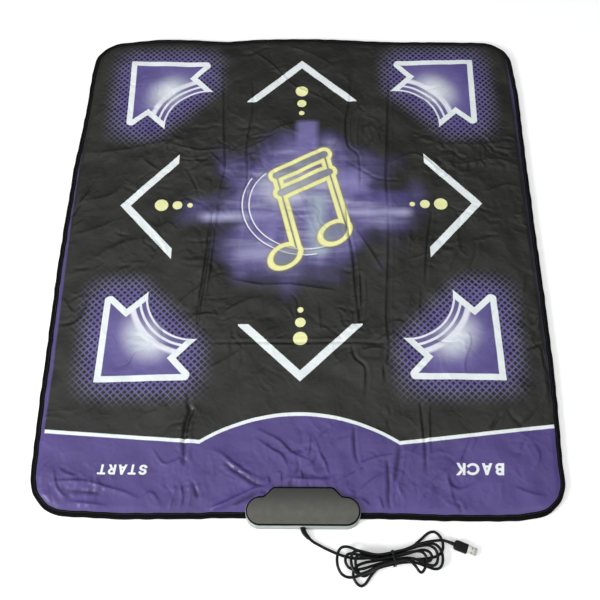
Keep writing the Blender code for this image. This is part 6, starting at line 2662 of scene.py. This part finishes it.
@dataclass
class ControlBox:
    """The moulded box that clamps the mat's near edge: base, lid, screws and grommet."""

    plan: Plan = PLAN
    seam: tuple = (12.2, 12.5)
    height: float = 15.5
    floor: float = 1.2
    plateau: float = 2.6
    top_round: float = 0.25
    ribs: int = 7
    rib_radii: Point = (4.6, 3.2)
    rib_depth: float = 0.75
    screw_places: tuple = ((66, 21.5), (-66, 21.5), (47, 44), (-47, 44))

    def ring(self, inset: float, z: float, forward: float = 0.0) -> list[Vector]:
        """The box's outline at a height.

        Args:
            inset: how far it is drawn in, in mm.
            z: its height, in mm.
            forward: how far its front half is let out forwards, in mm.

        Returns:
            Its points.
        """
        middle = self.plan.box_front + self.plan.box_depth / 2
        return [Vector((x, y - forward * MM * min(max((middle - y) / (16 * MM), 0.0), 1.0),
                        z * MM)) for x, y in self.plan.box_outline(inset * MM)]

    def build(self) -> None:
        """Make and dress the parts of the box."""
        self.build_base()
        self.build_lid()
        self.build_grommet()
        self.build_screws()

    def build_base(self) -> None:
        """The open lower shell with its round foot, screw bosses and holes."""
        low, high = self.floor, self.seam[0]
        # Inset, height and how far the front is let out: up the outside, then down the inside
        section = [(3, 0), (-0.6, 0, 1.6), (-1.2, 0.35, 1.6), (-1.5, 1.2, 1.6), (-1.5, 3, 1.6),
                   (-1.2, 3.2, 1.5), (-0.6, 3.3, 1.4), (-0.6, 4, 1.3), (-0.9, 4.2, 1.2),
                   (-0.7, high - 3, 0.7), (-0.4, high - 0.9, 0.1), (-0.15, high - 0.2),
                   (0.2, high), (0.9, high), (1.05, high - 0.15), (1.1, high - 2.4),
                   (2.2, high - 2.4), (2.3, high - 2.5), (2.3, low + 1), (3.1, low), (3.4, low)]
        piece = new_piece("box_base", loft([self.ring(*s) for s in section]), BASE_ABS.dress(),
                          35.0)
        for radius, foot, top, operation in ((4.8, 0.6, 8.0, "UNION"),
                                             (2.8, -1.0, 2.9, "DIFFERENCE")):
            for place in self.screw_places:
                post = [flat_ring(self.plan.box_point(*place), radius * MM, z * MM, 32)
                        for z in (foot, top)]
                carve(piece, loft(post), operation)
        declare(piece, "box_base", "box_lower_shell")

    def build_lid(self) -> None:
        """The lid: a bevelled skirt, painted black as shade, round a flat top painted grey as
        reflection.
        """
        low, high, r, flat = self.seam[1], self.height, self.top_round, self.plateau
        # Inset and height: down the inside, then out and up the skirt
        section = [(6.5, 13.5), (4.4, 13.5), (3.6, 12.8), (3.6, low - 2.2), (1.9, low - 2.2),
                   (1.6, low - 1.9), (1.5, low), (0.3, low), (0.1, low + 0.2), (0.1, low + 0.9),
                   (0.3, low + 1.2), (flat - 0.4, high - 0.45), (flat - 0.15, high - 0.3)]
        for turn in (0, 30, 60, 90):
            a = math.radians(turn)
            section.append((flat + r * (1 - math.cos(a)), high - r + r * math.sin(a)))
        section.append((6.5, high))
        piece = new_piece("box_lid", loft([self.ring(*s) for s in section]), LID_ABS.dress(),
                          35.0)
        declare(piece, "box_lid", "box_upper_shell")

    def build_grommet(self) -> None:
        """The strain relief: a flange in the front wall and seven soft ribs."""
        route = CordRoute()
        p = route.world(route.relief)
        rings = []
        forward = Vector((0, -1, 0))
        for v, r in ((3.7, 4.4), (2.3, 4.4), (2.3, 3.0), (-0.2, 3.0), (-0.25, 4.5)):
            centre = self.plan.box_point(0, v, 6)
            rings.append(ring_across(centre, forward, r * MM, r * MM, 28))
        count = 84
        for i in range(count + 1):
            s = i / count
            place = (p[0] * (1 - s) ** 3 + p[1] * 3 * s * (1 - s) ** 2
                     + p[2] * 3 * s * s * (1 - s) + p[3] * s ** 3)
            way = ((p[1] - p[0]) * (1 - s) ** 2 + (p[2] - p[1]) * 2 * s * (1 - s)
                   + (p[3] - p[2]) * s * s).normalized()
            radius = (self.rib_radii[0] * (1 - s) + self.rib_radii[1] * s) * MM
            groove = 0.5 - 0.5 * math.cos(2 * math.pi * self.ribs * s)
            radius -= self.rib_depth * MM * groove ** 1.6
            rings.append(ring_across(place, way, radius, radius, 28))
        self.grommet = new_piece("strain_relief", loft(rings), MOULDED_PVC.dress(), 50.0)
        declare(self.grommet, "cord_jacket", "cord_grommet")

    def build_screws(self) -> None:
        """The four pan-head screws under the box."""
        turned = ((0.9, 0.95), (1.7, 0.82), (2.2, 1.0), (2.5, 1.5), (2.5, 2.55), (1.3, 2.6),
                  (1.3, 7.5))
        form = lofts([flat_ring(self.plan.box_point(*place), r * MM, z * MM, 24)
                      for r, z in turned] for place in self.screw_places)
        declare(new_piece("case_screws", form, SCREW_STEEL.dress()), "steel",
                *(f"case_screw_{k}" for k in range(1, 5)))


@dataclass
class CordSet:
    """The cord, its twist tie and its plug."""

    route: CordRoute = field(default_factory=CordRoute)
    tie_width: float = 3.4 * MM
    tie_thick: float = 0.8 * MM
    neck: float = 11.0
    neck_ribs: int = 4
    grip_half: Point = (7.3, 3.9)
    grip_front: float = 31.2

    def build(self, grommet: bpy.types.Object) -> None:
        """Args:
            grommet: not used.
        """
        line = self.route.whole()
        data = bpy.data.curves.new("usb_cord", "CURVE")
        data.dimensions = "3D"
        data.bevel_depth = self.route.diameter / 2
        data.bevel_resolution = 5
        data.use_fill_caps = True
        spline = data.splines.new("POLY")
        spline.points.add(len(line) - 1)
        spline.points.foreach_set("co", [c for p in line for c in (*p, 1.0)])
        spline.use_smooth = True
        data.materials.append(CORD_PVC.dress())
        cord = put("usb_cord", data)
        tie = self.build_tie()
        plug = self.build_plug()
        declare(cord, "cord_jacket", "cord_lead", "cord_hank", "cord_tail")
        declare(tie, "black_plastic", "twist_tie")

    def strip(self, line: list[Vector], wide: list[Vector], half_width: float,
              half_thick: float, closed: bool) -> Form:
        """A flat strip along a line.

        Args:
            line: its middle line.
            wide: the direction of its width at each point.
            half_width: half its width.
            half_thick: half its thickness.
            closed: whether it ends where it starts.

        Returns:
            Points and faces.
        """
        rings = []
        count = len(line)
        for i, (place, side) in enumerate(zip(line, wide)):
            back = line[(i - 1) % count] if closed or i else line[0]
            ahead = line[(i + 1) % count] if closed or i < count - 1 else line[-1]
            normal = (ahead - back).normalized().cross(side).normalized()
            ring = []
            for k in range(12):
                x, y = squarish(2 * math.pi * (k + 0.5) / 12, 0.5, 0.8)
                ring.append(place + side * x * half_width + normal * y * half_thick)
            rings.append(ring)
        return loft(rings, capped=not closed)

    def build_tie(self) -> bpy.types.Object:
        """The tie round the hank's waist, with its two twisted ends.

        Returns:
            The tie.
        """
        route = self.route
        along, square = route.ways()
        half = 1.5 * route.step + route.diameter / 2 + 0.3 * MM
        low = 0.3 * MM
        high = route.floor + route.waist_lift + 3 * route.layer_step + route.diameter / 2 + 0.3 * MM
        r = route.diameter / 2
        loop = rounded_rectangle((0, (low + high) / 2), 2 * half + self.tie_thick,
                                 high - low + self.tie_thick, r, 8)
        middle = route.waist_point
        line = [middle + square * a + Vector((0, 0, z)) for a, z in loop]
        line = [Vector((p.x, p.y, max(p.z, 0.45 * MM))) for p in line]
        points, faces = self.strip(line, [along] * len(line), self.tie_width / 2,
                                   self.tie_thick / 2, True)
        # The two ends twist round each other, then part
        for lean in (-1, 1):
            ends, wide = [], []
            for i in range(17):
                s = i / 16
                aside = 0.35 * half * (1 - s) + lean * (0.9 * math.sin(3 * math.pi * min(s, 0.5))
                                                        + 5.0 * max(s - 0.45, 0) ** 1.5) * MM
                rise = high + self.tie_thick / 2 + (0.1 + 4.4 * s) * MM
                ends.append(middle + square * aside + along * (lean * 1.4 * math.cos(
                    3 * math.pi * min(s, 0.5)) * MM) + Vector((0, 0, rise)))
                turn = math.pi * s + (0 if lean > 0 else 0.5)
                wide.append((along * math.cos(turn) + square * math.sin(turn)).normalized())
            some, more = self.strip(ends, wide, 1.2 * MM, self.tie_thick / 2, False)
            faces += [tuple(k + len(points) for k in f) for f in more]
            points += some
        return new_piece("cord_tie", (points, faces), TIE_SKIN.dress(), 60.0)

    def build_plug(self) -> list[bpy.types.Object]:
        """The moulded grip, the metal shell and its contacts.

        Returns:
            The three pieces.
        """
        start, end = self.route.plug_ends()
        way = (end - start).normalized()
        rings = []
        for i in range(37):
            s = i / 36
            r = (2.45 + 0.65 * s) * MM
            r -= 0.5 * MM * (0.5 - 0.5 * math.cos(2 * math.pi * self.neck_ribs * s)) ** 1.5
            rings.append(ring_across(start + way * s * self.neck * MM, way, r, r, 40))
        # The grip: share of its full size, place and squareness
        for share, forward, flat in ((0.60, 0.05, 3), (0.78, 0.5, 3.4), (0.88, 1.2, 4),
                                     (0.96, 2.6, 4.6), (1.0, 4.6, 5), (1.0, 8, 5),
                                     (0.985, 10, 5), (0.985, 15, 5), (1.0, 17, 5),
                                     (1.0, 18.9, 5), (0.985, 19.6, 5), (0.93, 20.0, 5)):
            half_w, half_h = (size * MM * share for size in self.grip_half)
            rings.append(ring_across(start + way * (self.neck + forward) * MM, way, half_w,
                                     half_h, 40, flat))
        grip = new_piece("plug_grip", loft(rings), MOULDED_PVC.dress(), 50.0)
        declare(grip, "cord_jacket", "plug_overmould")
        face = start + way * self.grip_front * MM
        # The shell's outer and inner walls: half width, half height and place
        shell_rings = []
        for half_w, half_h, run in ((6, 2.25, 0), (6, 2.25, 13.2), (5.85, 2.1, 13.5),
                                    (5.68, 1.93, 13.35), (5.65, 1.9, 13.0), (5.65, 1.9, 0)):
            shell_rings.append(ring_across(face + way * run * MM, way, half_w * MM,
                                           half_h * MM, 48, 14))
        shell = new_piece("plug_shell_sheet", loft(shell_rings, capped=False),
                          PLATED_STEEL.dress())
        side, up = square_to(way)

        def shell_point(run: float, aside: float, rise: float) -> Vector:
            """A place in mm from the middle of the grip's front face."""
            return face + way * run * MM + side * aside * MM + up * rise * MM

        for sign in (-1, 1):
            for level in (-1, 1):
                window = [[shell_point(6.2 + a, 2.9 * sign + b, 2.1 * level + z)
                           for a, b in ((-1.1, -1.15), (1.1, -1.15), (1.1, 1.15), (-1.1, 1.15))]
                          for z in (-0.8, 0.8)]
                carve(shell, loft(window), "DIFFERENCE")
        declare(shell, "steel", "plug_shell")
        bars = ([[shell_point(run, aside + x, 0.28 + z)
                  for x, z in ((-0.5, 0.0), (0.5, 0.0), (0.5, 0.16), (-0.5, 0.16))]
                 for run in (2.0, 11.0)] for aside in (-3.5, -1.2, 1.2, 3.5))
        contacts = new_piece("plug_contacts", lofts(bars), GOLD_FLASH.dress(), 30.0)
        declare(contacts, "steel")
        return [grip, shell, contacts]


@dataclass
class InnerParts:
    """The parts that keep their shape from the frame: films, foam, board and clamp."""

    cut_limits: tuple = ((-400, 400), (-440, 464))
    cut_step: float = 25.0

    def dress(self) -> None:
        """Give each its own finish."""
        nodes = frame["nodes"]
        film, carbon = CLEAR_FILM.dress(), CARBON.dress()
        finishes = {
            "lower_contact_film": film, "upper_film": film, "foam_spacer": FOAM.dress(),
            "circuit_board": BoardFinish().dress(), "controller_chip": CHIP_EPOXY.dress(),
            "clock_crystal": CRYSTAL_CAN.dress(), "capacitor": SLEEVE.dress(),
            "pressure_strip": BLACK_RUBBER.dress(), "inner_lead": CORD_PVC.dress(),
            "plug_tongue": WHITE_NYLON.dress(),
        }
        steel = PLATED_STEEL.dress()
        for name, node in nodes.items():
            if name.startswith("upper_contact_"):
                finishes[name] = carbon
            elif name.startswith("clamp_"):
                finishes[name] = steel
        for name in ("lower_contact_film", "upper_film", "foam_spacer"):
            slot = "foam" if name == "foam_spacer" else "contact_film"
            self.settle(nodes[name], name, slot, finishes.pop(name))
        for name, material in finishes.items():
            node = nodes[name]
            node.data.materials.clear()
            node.data.materials.append(material)
        LOG.info("dressed %d nodes of the frame", len(finishes))

    def settle(self, node: bpy.types.Object, name: str, slot: str,
               material: bpy.types.Material) -> None:
        """Lay a copy of a layer that follows the settled rim, in place of the node.

        Args:
            node: the layer in the frame.
            name: its name there.
            slot: a slot name, passed on to declare.
            material: its finish.
        """
        mesh = node.data.copy()
        mesh.transform(node.matrix_world)
        bm = bmesh.new()
        bm.from_mesh(mesh)
        bmesh.ops.remove_doubles(bm, verts=bm.verts, dist=2e-6)
        bmesh.ops.dissolve_limit(bm, angle_limit=0.01, verts=bm.verts, edges=bm.edges)
        for axis, (low, high) in enumerate(self.cut_limits):
            for place in np.arange(low, high, self.cut_step):
                co, no = Vector(), Vector()
                co[axis], no[axis] = place * MM, 1.0
                bmesh.ops.bisect_plane(bm, geom=bm.verts[:] + bm.edges[:] + bm.faces[:],
                                       dist=1e-7, plane_co=co, plane_no=no)
        flat = np.array([tuple(v.co) for v in bm.verts])
        for vertex, place in zip(bm.verts, RIM.settle(flat / MM) * MM):
            vertex.co = place
        bmesh.ops.triangulate(bm, faces=bm.faces)
        bm.to_mesh(mesh)
        bm.free()
        mesh.materials.clear()
        mesh.materials.append(material)
        declare(put(f"laid_{name}", mesh), slot, name)


def main() -> None:
    """Build the mat, sub-assembly by sub-assembly."""
    logging.basicConfig(level=logging.INFO, format="%(name)s: %(message)s")
    view = StudioView()
    view.aim_camera()
    view.light()
    view.lay_floor()
    box = ControlBox()
    box.build()
    CordSet().build(box.grommet)
    PrintedSheet(SheetRelief()).build()
    Backing().build()
    EdgeBand().build()
    InnerParts().dress()
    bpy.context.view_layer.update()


if __name__ == "__main__":
    main()
